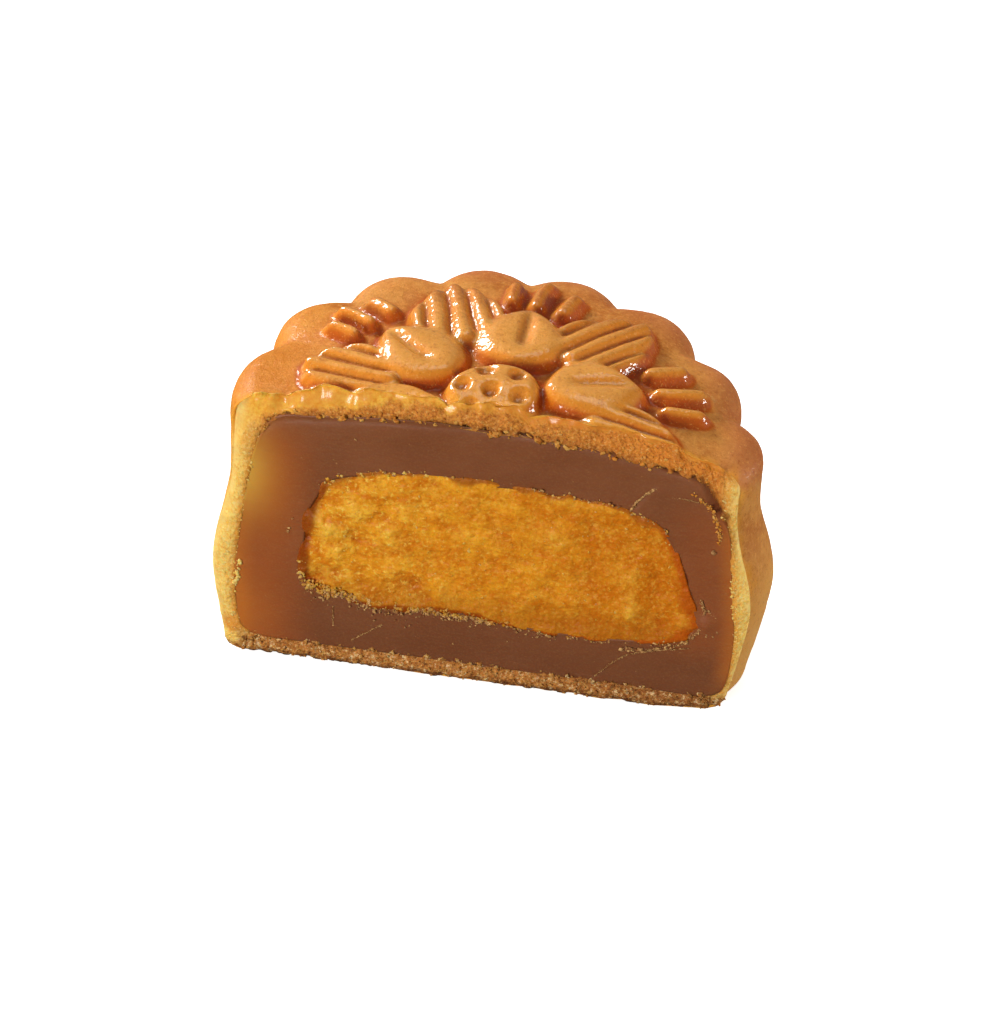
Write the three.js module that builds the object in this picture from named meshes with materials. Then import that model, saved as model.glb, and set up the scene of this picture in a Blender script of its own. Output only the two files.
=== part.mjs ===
// Half of a small Cantonese mooncake: a baked crust with a scalloped side and a moulded lotus
// rosette on top, lotus paste inside it, and one flattened salted egg yolk in the paste.
// Millimetres, +Z up. The knife's cut looks along -Y, and the cake rests on its flat base.
// The cake is shaped round its own upright axis at (0, 0), and placed at the very end.
import * as THREE from 'three';
import { mergeGeometries, mergeVertices } from 'three/addons/utils/BufferGeometryUtils.js';

// ---- driving dimensions of the cake ----
const bulgeRadius = 26;          // widest ring of the side, on the crown of a scallop
const bulgeHeight = 11.8;
const waistRadius = 24.7;        // slight waist under the rim
const waistHeight = 21;
const rimRadius = 24.9;
const rimHeight = 29;            // height of the top at its edge
const rimRound = 1.6;
const footRadius = 24.3;
const footRound = 1.8;
const footLeft = 0.4;            // the foot spread to the left as the dough sagged
const domeRise = 2.1;            // the top swells this much from its edge to its middle
const cutDistance = 2.4;         // the knife passed this far in front of the axis

// ---- scallops, anticlockwise from the right end of the cut: width in degrees about the axis,
// and how far the crown stands out from the rim's even round ----
const firstValley = -27;
const scallops = [
  { width: 22, swell: 0 },
  { width: 24, swell: 1.2 },
  { width: 24, swell: -0.1 },
  { width: 24, swell: 1.1 },
  { width: 22, swell: -0.2 },
  { width: 22, swell: -0.2 },
  { width: 23, swell: 0.5 },
  { width: 24, swell: 0.6 },
  { width: 28, swell: -1.1 },
  { width: 22, swell: 0 },
];
const sideValleyDepth = 0.7;
const rimValleyDepth = 1.55;
const valleyTwist = 3.5;         // degrees that a valley turns from the rim down to the foot
const rimSwellShare = 0.3;       // a scallop's swell fades to this share at the rim
const crownFullness = 0.78;      // under 1 makes a full crown with a narrow valley
const valleyFold = 0.7;          // the valleys run in over the top this deep
const valleyReach = 0.3;         // and over this share of the radius

// ---- the right side of the cake sank a little while it baked ----
const slumpDepth = 0.9;
const slumpStart = 6.5;
const slumpEnd = 25;
const bulgeLean = 0.045;         // the bulge lies this much higher per millimetre to the right

// ---- crust, paste and yolk ----
const fillingGap = 0.3;          // clearance between neighbouring pieces
const pasteRight = 0.6;          // the paste sits this far right of the axis
const pasteFloor = 2.2;
const pasteTop = 28.3;           // at the edge of the paste's crown
const pasteDomeRise = 1.4;
const pasteValleyDepth = 0.3;
const yolkReach = 18.2;
const yolkHalfHeight = 8.1;
const yolkRight = 1.2;
const yolkMiddle = 15.5;
const yolkSquareness = 4.2;      // 2 is an ellipse, higher is boxier
const yolkLean = 0.005;          // the right end lies this much lower per millimetre
const yolkSag = 0.3;             // the right end is wider below its middle

// ---- moulded lotus rosette: each shape rounds up from its edge over a run ----
const rosetteTurn = 22;          // degrees from the cut
const reliefBlend = 0.3;         // shapes that meet run together over this height
const knifePress = 0.45;         // the knife pressed the relief down by this share at the cut
const pressReach = 3.5;          // and less and less up to this far behind it
const podRadius = 4.7;
const podHeight = 2.1;
const podRun = 1.5;
const pits = 6;                  // round the one in the middle
const pitCircle = 2.85;
const pitRadius = 1.05;
const pitFloor = 0.35;           // radius of a pit's flat floor
const pitDepth = 0.75;
const petals = 6;
const petalStart = 4.4;
const petalTip = 15.2;
const petalHalfWidth = 4.9;
const petalHeight = 1.75;
const petalTipRise = 0.35;       // a petal stands this much higher at its tip
const petalRun = 3.2;
const creaseDepth = 0.55;        // the crease along the middle of a petal
const creaseWidth = 0.6;
const keelRound = 0.5;           // how softly a leaf's two sides meet along its middle
const leafStart = 7.5;
const leafTip = 19.2;
const leafHalfWidth = 5;
const leafHeight = 1.6;
const leafRun = 1.3;
const ribPitch = 2.1;            // between the ribs that run along a leaf
const ribDepth = 0.58;           // the grooves between them, as a share of the leaf's height
const barStart = 16.6;
const barEnd = 19.8;
const outerBarShorter = 0.8;
const barHalfWidth = 1.15;
const barHeight = 1.45;
const barSpacing = 8.8;          // degrees between the three bars past each petal
const dragSize = 0.6;            // the mould dragged the shapes sideways by up to this much

// ---- mesh density: spacing of the points ----
const topSpacing = 0.55;
const sideSpacing = 0.72;
const fillingSpacing = 2;
const softening = 0.22;          // the rosette is averaged this far round each point

const degrees = THREE.MathUtils.radToDeg;
const radians = THREE.MathUtils.degToRad;
const clamp01 = (value) => THREE.MathUtils.clamp(value, 0, 1);
const ease = (from, to, value) => {
  const share = clamp01((value - from) / (to - from));
  return share * share * (3 - 2 * share);
};
const blendHigher = (a, b, width) => {
  const overlap = Math.max(width - Math.abs(a - b), 0) / width;
  return Math.max(a, b) + overlap * overlap * width / 4;
};

// ---- scalloped outline ----

// How far the outline stands out at a bearing: 0 in the valley between two scallops, 1 on a
// crown, with the crown's own swell.
function scallopAt(bearing) {
  let valley = firstValley;
  for (const { width, swell } of scallops) {
    if (bearing < valley + width) {
      const arch = Math.sin(Math.PI * clamp01((bearing - valley) / width));
      return { crown: arch ** crownFullness, swell: swell * arch };
    }
    valley += width;
  }
  return { crown: 1, swell: 0 };
}

// Distance from the middle of the cut to a scalloped ring, in the plan direction `turn`
// (0 along +X, PI along -X). A scallop's own swell counts by `swellShare`, and the valleys
// are turned by `twist` degrees.
function reachToRing(turn, ringRadius, { valleyDepth, swellShare, twist }) {
  const alongX = Math.cos(turn);
  const alongY = Math.sin(turn);
  let reach = ringRadius;
  for (let step = 0; step < 8; step += 1) {
    const bearing = degrees(Math.atan2(reach * alongY - cutDistance, reach * alongX)) - twist;
    const { crown, swell } = scallopAt(bearing < -90 ? bearing + 360 : bearing);
    const radius = ringRadius + swellShare * swell - valleyDepth * (1 - crown);
    const half = cutDistance * alongY;
    reach = half + Math.sqrt(radius * radius - cutDistance * cutDistance + half * half);
  }
  return reach;
}

// ---- the rosette's height over the top, in plan coordinates ----

// Bearing folded to the nearest of `count` evenly spaced spokes.
function nearestSpoke(bearing, count, turn) {
  const step = 360 / count;
  const spoke = Math.round((bearing - turn) / step);
  return { spoke, offset: bearing - turn - spoke * step };
}

// A pointed leaf along a spoke: how far inside its edge, along it and across it. `belly` under
// 1 puts its widest place nearer the middle of the cake.
function insideLeaf(radius, offset, { start, tip, halfWidth, belly }) {
  const along = radius * Math.cos(radians(offset));
  const across = radius * Math.sin(radians(offset));
  const share = clamp01((along - start) / (tip - start));
  const width = halfWidth * Math.sin(Math.PI * share ** belly) ** 0.7;
  return { share, across, inside: width - Math.hypot(across, keelRound) };
}

// Rounds a raised shape up from its edge over `run`, steeper at the edge the higher `power` is.
const pillow = (inside, run, power) => 1 - (1 - clamp01(inside / run)) ** power;

function outerLeaf(radius, bearing) {
  const { spoke, offset } = nearestSpoke(bearing, petals, rosetteTurn + 180 / petals);
  const tip = leafTip * (1 + 0.04 * Math.sin(2.3 * spoke + 1));
  const outline = { start: leafStart, tip, halfWidth: leafHalfWidth, belly: 1.05 };
  const leaf = insideLeaf(radius, offset, outline);
  const rib = Math.abs(Math.cos(Math.PI * leaf.across / ribPitch)) ** 0.6;
  const ribbed = 1 - ribDepth * (1 - rib);
  return leafHeight * pillow(leaf.inside, leafRun, 2.2) * ribbed * ease(0, 0.2, leaf.share);
}

function threeBars(radius, bearing) {
  const { offset } = nearestSpoke(bearing, petals, rosetteTurn);
  const bar = THREE.MathUtils.clamp(Math.round(offset / barSpacing), -1, 1);
  const along = radius * Math.cos(radians(offset - bar * barSpacing));
  const across = radius * Math.sin(radians(offset - bar * barSpacing));
  const nearest = THREE.MathUtils.clamp(along, barStart, barEnd - outerBarShorter * Math.abs(bar));
  const inside = barHalfWidth - Math.hypot(along - nearest, across);
  return barHeight * pillow(inside, barHalfWidth, 2);
}

function innerPetal(radius, bearing) {
  const { spoke, offset } = nearestSpoke(bearing, petals, rosetteTurn);
  const tip = petalTip * (1 + 0.05 * Math.sin(1.7 * spoke + 0.4));
  const outline = { start: petalStart, tip, halfWidth: petalHalfWidth, belly: 0.85 };
  const petal = insideLeaf(radius, offset, outline);
  const swell = (petalHeight + petalTipRise * petal.share) * pillow(petal.inside, petalRun, 2.6);
  const crease = creaseDepth * Math.exp(-((petal.across / creaseWidth) ** 2))
    * ease(0.2, 0.4, petal.share) * ease(0.97, 0.75, petal.share);
  return Math.max(swell - crease, 0);
}

// The seed pod, with one pit in the middle and a ring of them.
function seedPod(x, y) {
  let height = podHeight * pillow(podRadius - Math.hypot(x, y), podRun, 2.2);
  for (let pit = 0; pit <= pits; pit += 1) {
    const circle = pit < pits ? pitCircle : 0;
    const bearing = radians((pit + 0.5) * 360 / pits + rosetteTurn);
    const away = Math.hypot(x - circle * Math.cos(bearing), y - circle * Math.sin(bearing));
    height -= pitDepth * (1 - ease(pitFloor, pitRadius, away));
  }
  return Math.max(height, 0);
}

function rosetteHeight(planX, planY) {
  const x = planX + dragSize * Math.sin(0.33 * planX + 0.8) * Math.cos(0.29 * planY + 1.3);
  const y = planY + dragSize * Math.sin(0.31 * planY + 0.3) * Math.cos(0.27 * planX + 2.1);
  const radius = Math.hypot(x, y);
  const bearing = degrees(Math.atan2(y, x));
  const heights = [outerLeaf, threeBars, innerPetal].map((shape) => shape(radius, bearing));
  const raised = [...heights, seedPod(x, y)].reduce((a, b) => blendHigher(a, b, reliefBlend));
  const pressed = 1 - knifePress * ease(pressReach, 0, planY + cutDistance);
  return raised * pressed;
}

// The baked edges of the rosette are soft: each height is averaged over a small cross.
function softRosette(x, y) {
  const around = [[0, 0], [softening, 0], [-softening, 0], [0, softening], [0, -softening]];
  return around.reduce((sum, [dx, dy]) => sum + rosetteHeight(x + dx, y + dy), 0) / around.length;
}

// Where the valleys between the scallops fold in over the edge of the top, how deep they are.
function foldDepth(x, y) {
  const bearing = degrees(Math.atan2(y, x));
  const { crown } = scallopAt(bearing < -90 ? bearing + 360 : bearing);
  const share = Math.hypot(x, y) / rimRadius;
  return valleyFold * (1 - crown) * ease(1 - valleyReach, 1 - rimRound / rimRadius, share);
}

// Height of the top without the rosette.
function plainTop(x, y) {
  const share = Math.min(Math.hypot(x, y) / rimRadius, 1);
  return rimHeight + domeRise * (1 - share ** 2) - foldDepth(x, y);
}

// Everything on the right sank, in proportion to its height over the base.
function settled(point) {
  point.z *= 1 - slumpDepth * ease(slumpStart, slumpEnd, point.x) / rimHeight;
  return point;
}

// ---- surfaces over a half turn: rings of points from +X round the back to -X ----

const planPoint = (turn, reach, z) => new THREE.Vector3(
  reach * Math.cos(turn),
  reach * Math.sin(turn) - cutDistance,
  z,
);

// One ring, with as many points as its length asks for; a reach of 0 gives the pole alone.
function halfRing(reach, spacing, place) {
  const steps = Math.round(Math.PI * reach / spacing);
  if (steps === 0) return [place(0)];
  return Array.from({ length: steps + 1 }, (_, step) => place(step * Math.PI / steps));
}

// Joins rings that follow each other from the pole below to the pole above, so that the
// surface faces out. Two rings with unlike numbers of points are zipped together.
function zipRings(rings) {
  const corners = [];
  let start = 0;
  rings.slice(1).forEach((upper, index) => {
    const lower = rings[index];
    const upperStart = start + lower.length;
    let i = 0;
    let j = 0;
    while (i < lower.length - 1 || j < upper.length - 1) {
      const nextLower = i < lower.length - 1 ? (i + 1) / (lower.length - 1) : Infinity;
      const nextUpper = j < upper.length - 1 ? (j + 1) / (upper.length - 1) : Infinity;
      if (nextLower <= nextUpper) {
        corners.push(start + i, start + i + 1, upperStart + j);
        i += 1;
      } else {
        corners.push(start + i, upperStart + j + 1, upperStart + j);
        j += 1;
      }
    }
    start = upperStart;
  });
  const surface = new THREE.BufferGeometry().setFromPoints(rings.flat());
  return surface.setIndex(corners);
}

// The edge that rings show at the cut: up the right side from the pole below, then down the left.
function cutOutline(rings) {
  const right = rings.map((ring) => ring[0]);
  const left = rings.slice(1, -1).map((ring) => ring[ring.length - 1]).reverse();
  return [...right, ...left].map((point) => new THREE.Vector2(point.x, point.z));
}

// A body cut flat at the knife's plane, with a pocket in that face if another piece sits in it.
function cutBody(outsideRings, pocketRings = null) {
  const shape = new THREE.Shape(cutOutline(outsideRings));
  const surfaces = [zipRings(outsideRings)];
  if (pocketRings) {
    shape.holes.push(new THREE.Path(cutOutline(pocketRings)));
    const pocket = zipRings(pocketRings);
    pocket.index.array.reverse();
    surfaces.push(pocket);
  }
  const face = new THREE.ShapeGeometry(shape).rotateX(Math.PI / 2).translate(0, -cutDistance, 0);
  face.deleteAttribute('normal');
  face.deleteAttribute('uv');
  const body = mergeVertices(mergeGeometries([...surfaces, face]), 1e-3);
  body.computeVertexNormals();
  return body;
}

// ---- outside of the crust: base, foot, side, rim and top ----

// Distance to a ring of the outside: the valleys deepen and the swells fade towards the rim,
// and the valleys lean over a little on their way down.
function reachToSide(turn, ringRadius, height) {
  const above = clamp01((height - bulgeHeight) / (rimHeight - bulgeHeight));
  return reachToRing(turn, ringRadius, {
    valleyDepth: THREE.MathUtils.lerp(sideValleyDepth, rimValleyDepth, above),
    swellShare: THREE.MathUtils.lerp(1, rimSwellShare, above),
    twist: valleyTwist * (1 - height / rimHeight),
  });
}

const sideCurve = new THREE.SplineCurve([
  new THREE.Vector2(footRadius, footRound),
  new THREE.Vector2(bulgeRadius, bulgeHeight),
  new THREE.Vector2(waistRadius, waistHeight),
  new THREE.Vector2(rimRadius, rimHeight - rimRound),
]);

// Radius and height of the rings from the base to the rim.
const baseSteps = [0, 0.35, 0.7, 1].map((share) => [share * (footRadius - footRound), 0]);
const footSteps = [0.5, 1].map((share) => [
  footRadius - footRound * (1 - Math.sin(share * Math.PI / 2)),
  footRound * (1 - Math.cos(share * Math.PI / 2)),
]);
const sideSteps = sideCurve.getPoints(9).slice(1).map((point) => [point.x, point.y]);
const rimSteps = [0.3, 0.6, 0.85].map((share) => [
  rimRadius - rimRound * (1 - Math.cos(share * Math.PI / 2)),
  rimHeight - rimRound * (1 - Math.sin(share * Math.PI / 2)),
]);

function crustSidePoint(turn, radius, height) {
  if (radius === 0) return planPoint(turn, 0, height);
  const point = planPoint(turn, reachToSide(turn, radius, height), height);
  point.x += footLeft * (1 - ease(0, bulgeHeight, height)) * Math.min(point.x, 0) / footRadius;
  point.z += bulgeLean * point.x * Math.sin(Math.PI * height / rimHeight);
  point.z -= foldDepth(point.x, point.y) * ease(0.8, 1, height / rimHeight);
  return settled(point);
}

function crustTopPoint(turn, share) {
  const point = planPoint(turn, share * reachToSide(turn, rimRadius - rimRound, rimHeight), 0);
  point.z = plainTop(point.x, point.y) + softRosette(point.x, point.y);
  return settled(point);
}

function crustRings() {
  const side = [...baseSteps, ...footSteps, ...sideSteps, ...rimSteps].map(([radius, height]) => (
    halfRing(radius, sideSpacing, (turn) => crustSidePoint(turn, radius, height))
  ));
  const topReach = rimRadius - rimRound;
  const topSteps = Math.round(topReach / topSpacing);
  const top = Array.from({ length: topSteps + 1 }, (_, step) => {
    const share = 1 - step / topSteps;
    return halfRing(share * topReach, topSpacing, (turn) => crustTopPoint(turn, share));
  });
  return [...side, ...top];
}

// ---- paste, `spare` larger all round for the pocket that holds it ----

// Radius and rise over the floor of the rings round the paste, up to the edge of its crown.
const pasteWall = [
  [0, 0], [10.4, 0], [20.9, 0], [22.6, 0.5], [23.4, 1.7], [23.8, 4.5], [23.9, 8], [23.6, 12],
  [23.2, 16], [22.8, 19.5], [22.2, 22.6], [21.2, 24.7], [19.8, 25.8], [17.4, 26.1],
];
const pasteOutline = { valleyDepth: pasteValleyDepth, swellShare: 0, twist: 0 };
const pasteCrownRings = 6;

function pasteRings(spare) {
  const floor = pasteFloor - spare;
  const stretch = (pasteTop + spare - floor) / pasteWall[pasteWall.length - 1][1];
  const wallPoint = (turn, radius, height) => {
    const reach = radius === 0 ? 0 : reachToRing(turn, radius + spare, pasteOutline);
    const point = planPoint(turn, reach, height);
    point.x += pasteRight;
    return settled(point);
  };
  const wall = pasteWall.map(([radius, rise]) => (
    halfRing(radius, fillingSpacing, (turn) => wallPoint(turn, radius, floor + rise * stretch))
  ));
  const edge = pasteWall[pasteWall.length - 1][0];
  const crown = Array.from({ length: pasteCrownRings }, (_, step) => {
    const share = 1 - (step + 1) / pasteCrownRings;
    const height = pasteTop + spare + pasteDomeRise * (1 - share ** 2);
    return halfRing(share * edge, fillingSpacing, (turn) => wallPoint(turn, share * edge, height));
  });
  return [...wall, ...crown];
}

// ---- yolk, `spare` larger all round for the pocket that holds it ----

const yolkBands = 14;

function yolkRings(spare) {
  const curl = (value) => Math.sign(value) * Math.abs(value) ** (2 / yolkSquareness);
  return Array.from({ length: yolkBands + 1 }, (_, band) => {
    const tilt = Math.PI * (band / yolkBands - 0.5);
    const across = band % yolkBands === 0 ? 0 : curl(Math.cos(tilt));
    const rise = (yolkHalfHeight + spare) * curl(Math.sin(tilt));
    return halfRing(across * yolkReach, fillingSpacing, (turn) => {
      const half = cutDistance * Math.sin(turn);
      const edge = half + Math.sqrt((yolkReach + spare) ** 2 - cutDistance ** 2 + half ** 2);
      const point = planPoint(turn, across * edge, yolkMiddle + rise);
      point.z -= yolkLean * point.x;
      point.x += yolkRight - yolkSag * rise * clamp01(point.x / yolkReach);
      return point;
    });
  });
}

// ---- bodies ----

const halfGap = fillingGap / 2;

function namedMesh(name, geometry, color, roughness) {
  const material = new THREE.MeshStandardMaterial({ color, roughness, metalness: 0, name });
  const mesh = new THREE.Mesh(geometry, material);
  mesh.name = name;
  return mesh;
}

const crust = namedMesh('crust', cutBody(crustRings(), pasteRings(halfGap)), 0xc8803f, 0.35);
const filling = cutBody(pasteRings(-halfGap), yolkRings(halfGap));
const lotusPaste = namedMesh('lotus_paste', filling, 0x7f4a2b, 0.45);
const eggYolk = namedMesh('egg_yolk', cutBody(yolkRings(-halfGap)), 0xd98c1e, 0.55);

// The part's origin is the middle of its footprint's box, on the surface it rests on.
const mooncake = new THREE.Group();
mooncake.add(crust, lotusPaste, eggYolk);
const bounds = new THREE.Box3().setFromObject(mooncake);
const middle = bounds.getCenter(new THREE.Vector3());
mooncake.position.set(-middle.x, -middle.y, -bounds.min.z);

export default mooncake;
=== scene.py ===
# %% [markdown]
# # Half of a small mooncake
# A round mooncake is thin dough wrapped round a ball of sweet lotus paste with a whole salted
# yolk in it, pressed into a carved wooden mould, brushed with egg and baked. Here it stands as
# the knife left it, a little over half, with the cut towards the front.
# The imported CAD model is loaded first, as a fixed frame. Its three solids (crust, paste, yolk)
# give the places and sizes, and each is then replaced by a finer mesh of the same form.

# %% Load the frame
import math
import random
from itertools import pairwise
import bmesh
import bpy
import numpy as np
import mathutils.kdtree
from mathutils import Matrix, Vector, noise


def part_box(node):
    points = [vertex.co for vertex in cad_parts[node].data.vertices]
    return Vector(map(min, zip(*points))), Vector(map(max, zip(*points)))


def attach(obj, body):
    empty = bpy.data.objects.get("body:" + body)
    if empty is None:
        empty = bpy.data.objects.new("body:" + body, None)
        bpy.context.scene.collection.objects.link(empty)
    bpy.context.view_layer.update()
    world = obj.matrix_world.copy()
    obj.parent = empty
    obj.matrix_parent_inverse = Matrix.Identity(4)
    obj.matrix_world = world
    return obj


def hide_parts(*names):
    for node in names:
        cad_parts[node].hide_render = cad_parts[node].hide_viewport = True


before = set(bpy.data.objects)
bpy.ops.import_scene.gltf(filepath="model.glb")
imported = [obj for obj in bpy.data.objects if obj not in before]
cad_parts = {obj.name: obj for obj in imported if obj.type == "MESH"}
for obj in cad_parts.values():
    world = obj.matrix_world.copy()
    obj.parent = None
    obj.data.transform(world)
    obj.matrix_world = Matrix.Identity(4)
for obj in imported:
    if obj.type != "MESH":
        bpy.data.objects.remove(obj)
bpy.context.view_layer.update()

# %% [markdown]
# ## Sizes
# The mesh of each piece is worked out round the cake's own upright axis, in millimetres with +Z
# up, because the dough's shape is simple there: rings round that axis. These are the dimensions
# that drive the CAD solids too. Only at the end is a mesh scaled to metres and moved to where its
# solid stands.

# %% Driving dimensions, in millimetres
MM = 0.001
BULGE_RADIUS, BULGE_HEIGHT = 26, 11.8
WAIST_RADIUS, WAIST_HEIGHT = 24.7, 21
RIM_RADIUS, RIM_HEIGHT, RIM_ROUND = 24.9, 29, 1.6
FOOT_RADIUS, FOOT_ROUND, FOOT_LEFT = 24.3, 1.8, 0.4
DOME_RISE = 2.1
CUT = 2.4                        # the knife passed this far in front of the axis
SLUMP_DEPTH, SLUMP_START, SLUMP_END = 0.9, 6.5, 25
BULGE_LEAN = 0.045

FIRST_VALLEY = -27               # degrees; then (width in degrees, swell) of each scallop
SCALLOPS = [
    (22, 0), (24, 1.2), (24, -0.1), (24, 1.1), (22, -0.2),
    (22, -0.2), (23, 0.5), (24, 0.6), (28, -1.1), (22, 0),
]
SIDE_VALLEY, RIM_VALLEY, VALLEY_TWIST = 0.7, 1.55, 3.5
RIM_SWELL_SHARE, CROWN_FULLNESS = 0.3, 0.78
VALLEY_FOLD, VALLEY_REACH = 0.7, 0.3

PASTE_RIGHT, PASTE_FLOOR, PASTE_TOP, PASTE_DOME, PASTE_VALLEY = 0.6, 2.2, 28.3, 1.4, 0.3
PASTE_WALL = [
    (20.9, 0), (22.6, 0.5), (23.4, 1.7), (23.8, 4.5), (23.9, 8), (23.6, 12), (23.2, 16),
    (22.8, 19.5), (22.2, 22.6), (21.2, 24.7), (19.8, 25.8), (17.4, 26.1),
]
YOLK_REACH, YOLK_HALF_HEIGHT, YOLK_RIGHT, YOLK_MIDDLE = 18.2, 8.1, 1.2, 15.5
YOLK_SQUARENESS, YOLK_LEAN, YOLK_SAG = 4.2, 0.005, 0.3

# %% [markdown]
# ## The cake's outline
# Seen from above, the side is a row of scallops, none as wide or as full as the next. A scallop
# is an arch over its width: 0 in the valleys beside it and 1 on its crown. A column of the mesh
# isn't turned round the axis but round the middle of the cut, so that the first and the last
# column lie exactly in the knife's plane. So the distance out to a ring is found in a few steps.

# %% Scallops and rings
SEARCH_STEPS = 8

def clamp01(value):
    return min(max(value, 0), 1)

def ease(start, end, value):
    share = clamp01((value - start) / (end - start))
    return share * share * (3 - 2 * share)

def fade(distance, reach):
    """1 at no distance, and falling off at once."""
    return math.exp(-distance / reach)

def bell(distance, reach):
    """1 at no distance, with a round top, and almost nothing at twice the reach."""
    return math.exp(-((distance / reach) ** 2))

def blend_higher(a, b, width):
    overlap = max(width - abs(a - b), 0) / width
    return max(a, b) + overlap * overlap * width / 4

def scallop_at(bearing):
    """(crown, swell) of the outline at a bearing round the axis, in degrees."""
    if bearing < -90:
        bearing += 360
    valley = FIRST_VALLEY
    for width, swell in SCALLOPS:
        if bearing < valley + width:
            arch = math.sin(math.pi * clamp01((bearing - valley) / width))
            return arch ** CROWN_FULLNESS, swell * arch
        valley += width
    return 1, 0

def reach_to_ring(turn, ring_radius, valley_depth, swell_share, twist):
    """From the middle of the cut out to a scalloped ring; turn is 0 along +X and pi along -X."""
    along_x, along_y = math.cos(turn), math.sin(turn)
    reach = ring_radius
    half = CUT * along_y
    for _ in range(SEARCH_STEPS):
        bearing = math.degrees(math.atan2(reach * along_y - CUT, reach * along_x)) - twist
        crown, swell = scallop_at(bearing)
        radius = ring_radius + swell_share * swell - valley_depth * (1 - crown)
        reach = half + math.sqrt(radius * radius - CUT * CUT + half * half)
    return reach

def reach_to_side(turn, ring_radius, height):
    above = clamp01((height - BULGE_HEIGHT) / (RIM_HEIGHT - BULGE_HEIGHT))
    return reach_to_ring(
        turn, ring_radius,
        valley_depth=SIDE_VALLEY + (RIM_VALLEY - SIDE_VALLEY) * above,
        swell_share=1 + (RIM_SWELL_SHARE - 1) * above,
        twist=VALLEY_TWIST * (1 - height / RIM_HEIGHT),
    )

def plan_point(turn, reach, height):
    return Vector((reach * math.cos(turn), reach * math.sin(turn) - CUT, height))

def settle(x):
    """What is left of a height: the right side sank a little in the oven."""
    return 1 - SLUMP_DEPTH * ease(SLUMP_START, SLUMP_END, x) / RIM_HEIGHT

def settled(point):
    point.z *= settle(point.x)
    return point

# %% [markdown]
# ## The moulded top
# The carved mould leaves a lotus rosette: a seed pod with pits, six plump creased petals, a ribbed
# leaf between each two, and three short bars past each petal. It could be sculpted by hand, but a
# height for each place on the top keeps it the same as in the CAD solid, and a finer mesh then
# simply shows more of it. Each shape rounds up from its edge like a cushion, and the highest one
# wins.

# %% Heights of the rosette
ROSETTE_TURN, RELIEF_BLEND, DRAG_SIZE = 22, 0.3, 0.6
KNIFE_PRESS, PRESS_REACH = 0.45, 3.5
POD_RADIUS, POD_HEIGHT, POD_RUN = 4.7, 2.1, 1.5
PITS, PIT_CIRCLE, PIT_RADIUS, PIT_FLOOR, PIT_DEPTH = 6, 2.85, 1.05, 0.35, 0.75
PETALS, PETAL_START, PETAL_TIP, PETAL_HALF_WIDTH = 6, 4.4, 15.2, 4.9
PETAL_HEIGHT, PETAL_TIP_RISE, PETAL_RUN, CREASE_DEPTH, CREASE_WIDTH = 1.75, 0.35, 3.2, 0.55, 0.6
KEEL_ROUND = 0.5
LEAF_START, LEAF_TIP, LEAF_HALF_WIDTH, LEAF_HEIGHT, LEAF_RUN = 7.5, 19.2, 5, 1.6, 1.3
RIB_PITCH, RIB_DEPTH = 2.1, 0.58
BAR_START, BAR_END, OUTER_BAR_SHORTER = 16.6, 19.8, 0.8
BAR_HALF_WIDTH, BAR_HEIGHT, BAR_SPACING = 1.15, 1.45, 8.8
SOFTENING = 0.22

def nearest_spoke(bearing, count, turn):
    step = 360 / count
    spoke = math.floor((bearing - turn) / step + 0.5)
    return spoke, bearing - turn - spoke * step

def spread_out(radius, degrees):
    """(along, across) a spoke, for a place at a bearing from it."""
    return radius * math.cos(math.radians(degrees)), radius * math.sin(math.radians(degrees))

def inside_leaf(radius, offset, start, tip, half_width, belly):
    """(share of the length, distance across, distance inside the edge) of a pointed leaf."""
    along, across = spread_out(radius, offset)
    share = clamp01((along - start) / (tip - start))
    width = half_width * max(math.sin(math.pi * share ** belly), 0) ** 0.7
    return share, across, width - math.hypot(across, KEEL_ROUND)

def pillow(inside, run, power):
    return 1 - (1 - clamp01(inside / run)) ** power

def outer_leaf(radius, bearing):
    spoke, offset = nearest_spoke(bearing, PETALS, ROSETTE_TURN + 180 / PETALS)
    tip = LEAF_TIP * (1 + 0.04 * math.sin(2.3 * spoke + 1))
    share, across, inside = inside_leaf(radius, offset, LEAF_START, tip, LEAF_HALF_WIDTH, 1.05)
    rib = abs(math.cos(math.pi * across / RIB_PITCH)) ** 0.6
    ribbed = 1 - RIB_DEPTH * (1 - rib)
    return LEAF_HEIGHT * pillow(inside, LEAF_RUN, 2.2) * ribbed * ease(0, 0.2, share)

def three_bars(radius, bearing):
    _, offset = nearest_spoke(bearing, PETALS, ROSETTE_TURN)
    bar = min(max(math.floor(offset / BAR_SPACING + 0.5), -1), 1)
    along, across = spread_out(radius, offset - bar * BAR_SPACING)
    nearest = min(max(along, BAR_START), BAR_END - OUTER_BAR_SHORTER * abs(bar))
    inside = BAR_HALF_WIDTH - math.hypot(along - nearest, across)
    return BAR_HEIGHT * pillow(inside, BAR_HALF_WIDTH, 2)

def inner_petal(radius, bearing):
    spoke, offset = nearest_spoke(bearing, PETALS, ROSETTE_TURN)
    tip = PETAL_TIP * (1 + 0.05 * math.sin(1.7 * spoke + 0.4))
    share, across, inside = inside_leaf(radius, offset, PETAL_START, tip, PETAL_HALF_WIDTH, 0.85)
    swell = (PETAL_HEIGHT + PETAL_TIP_RISE * share) * pillow(inside, PETAL_RUN, 2.6)
    crease = CREASE_DEPTH * bell(across, CREASE_WIDTH)
    return max(swell - crease * ease(0.2, 0.4, share) * ease(0.97, 0.75, share), 0)

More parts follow.
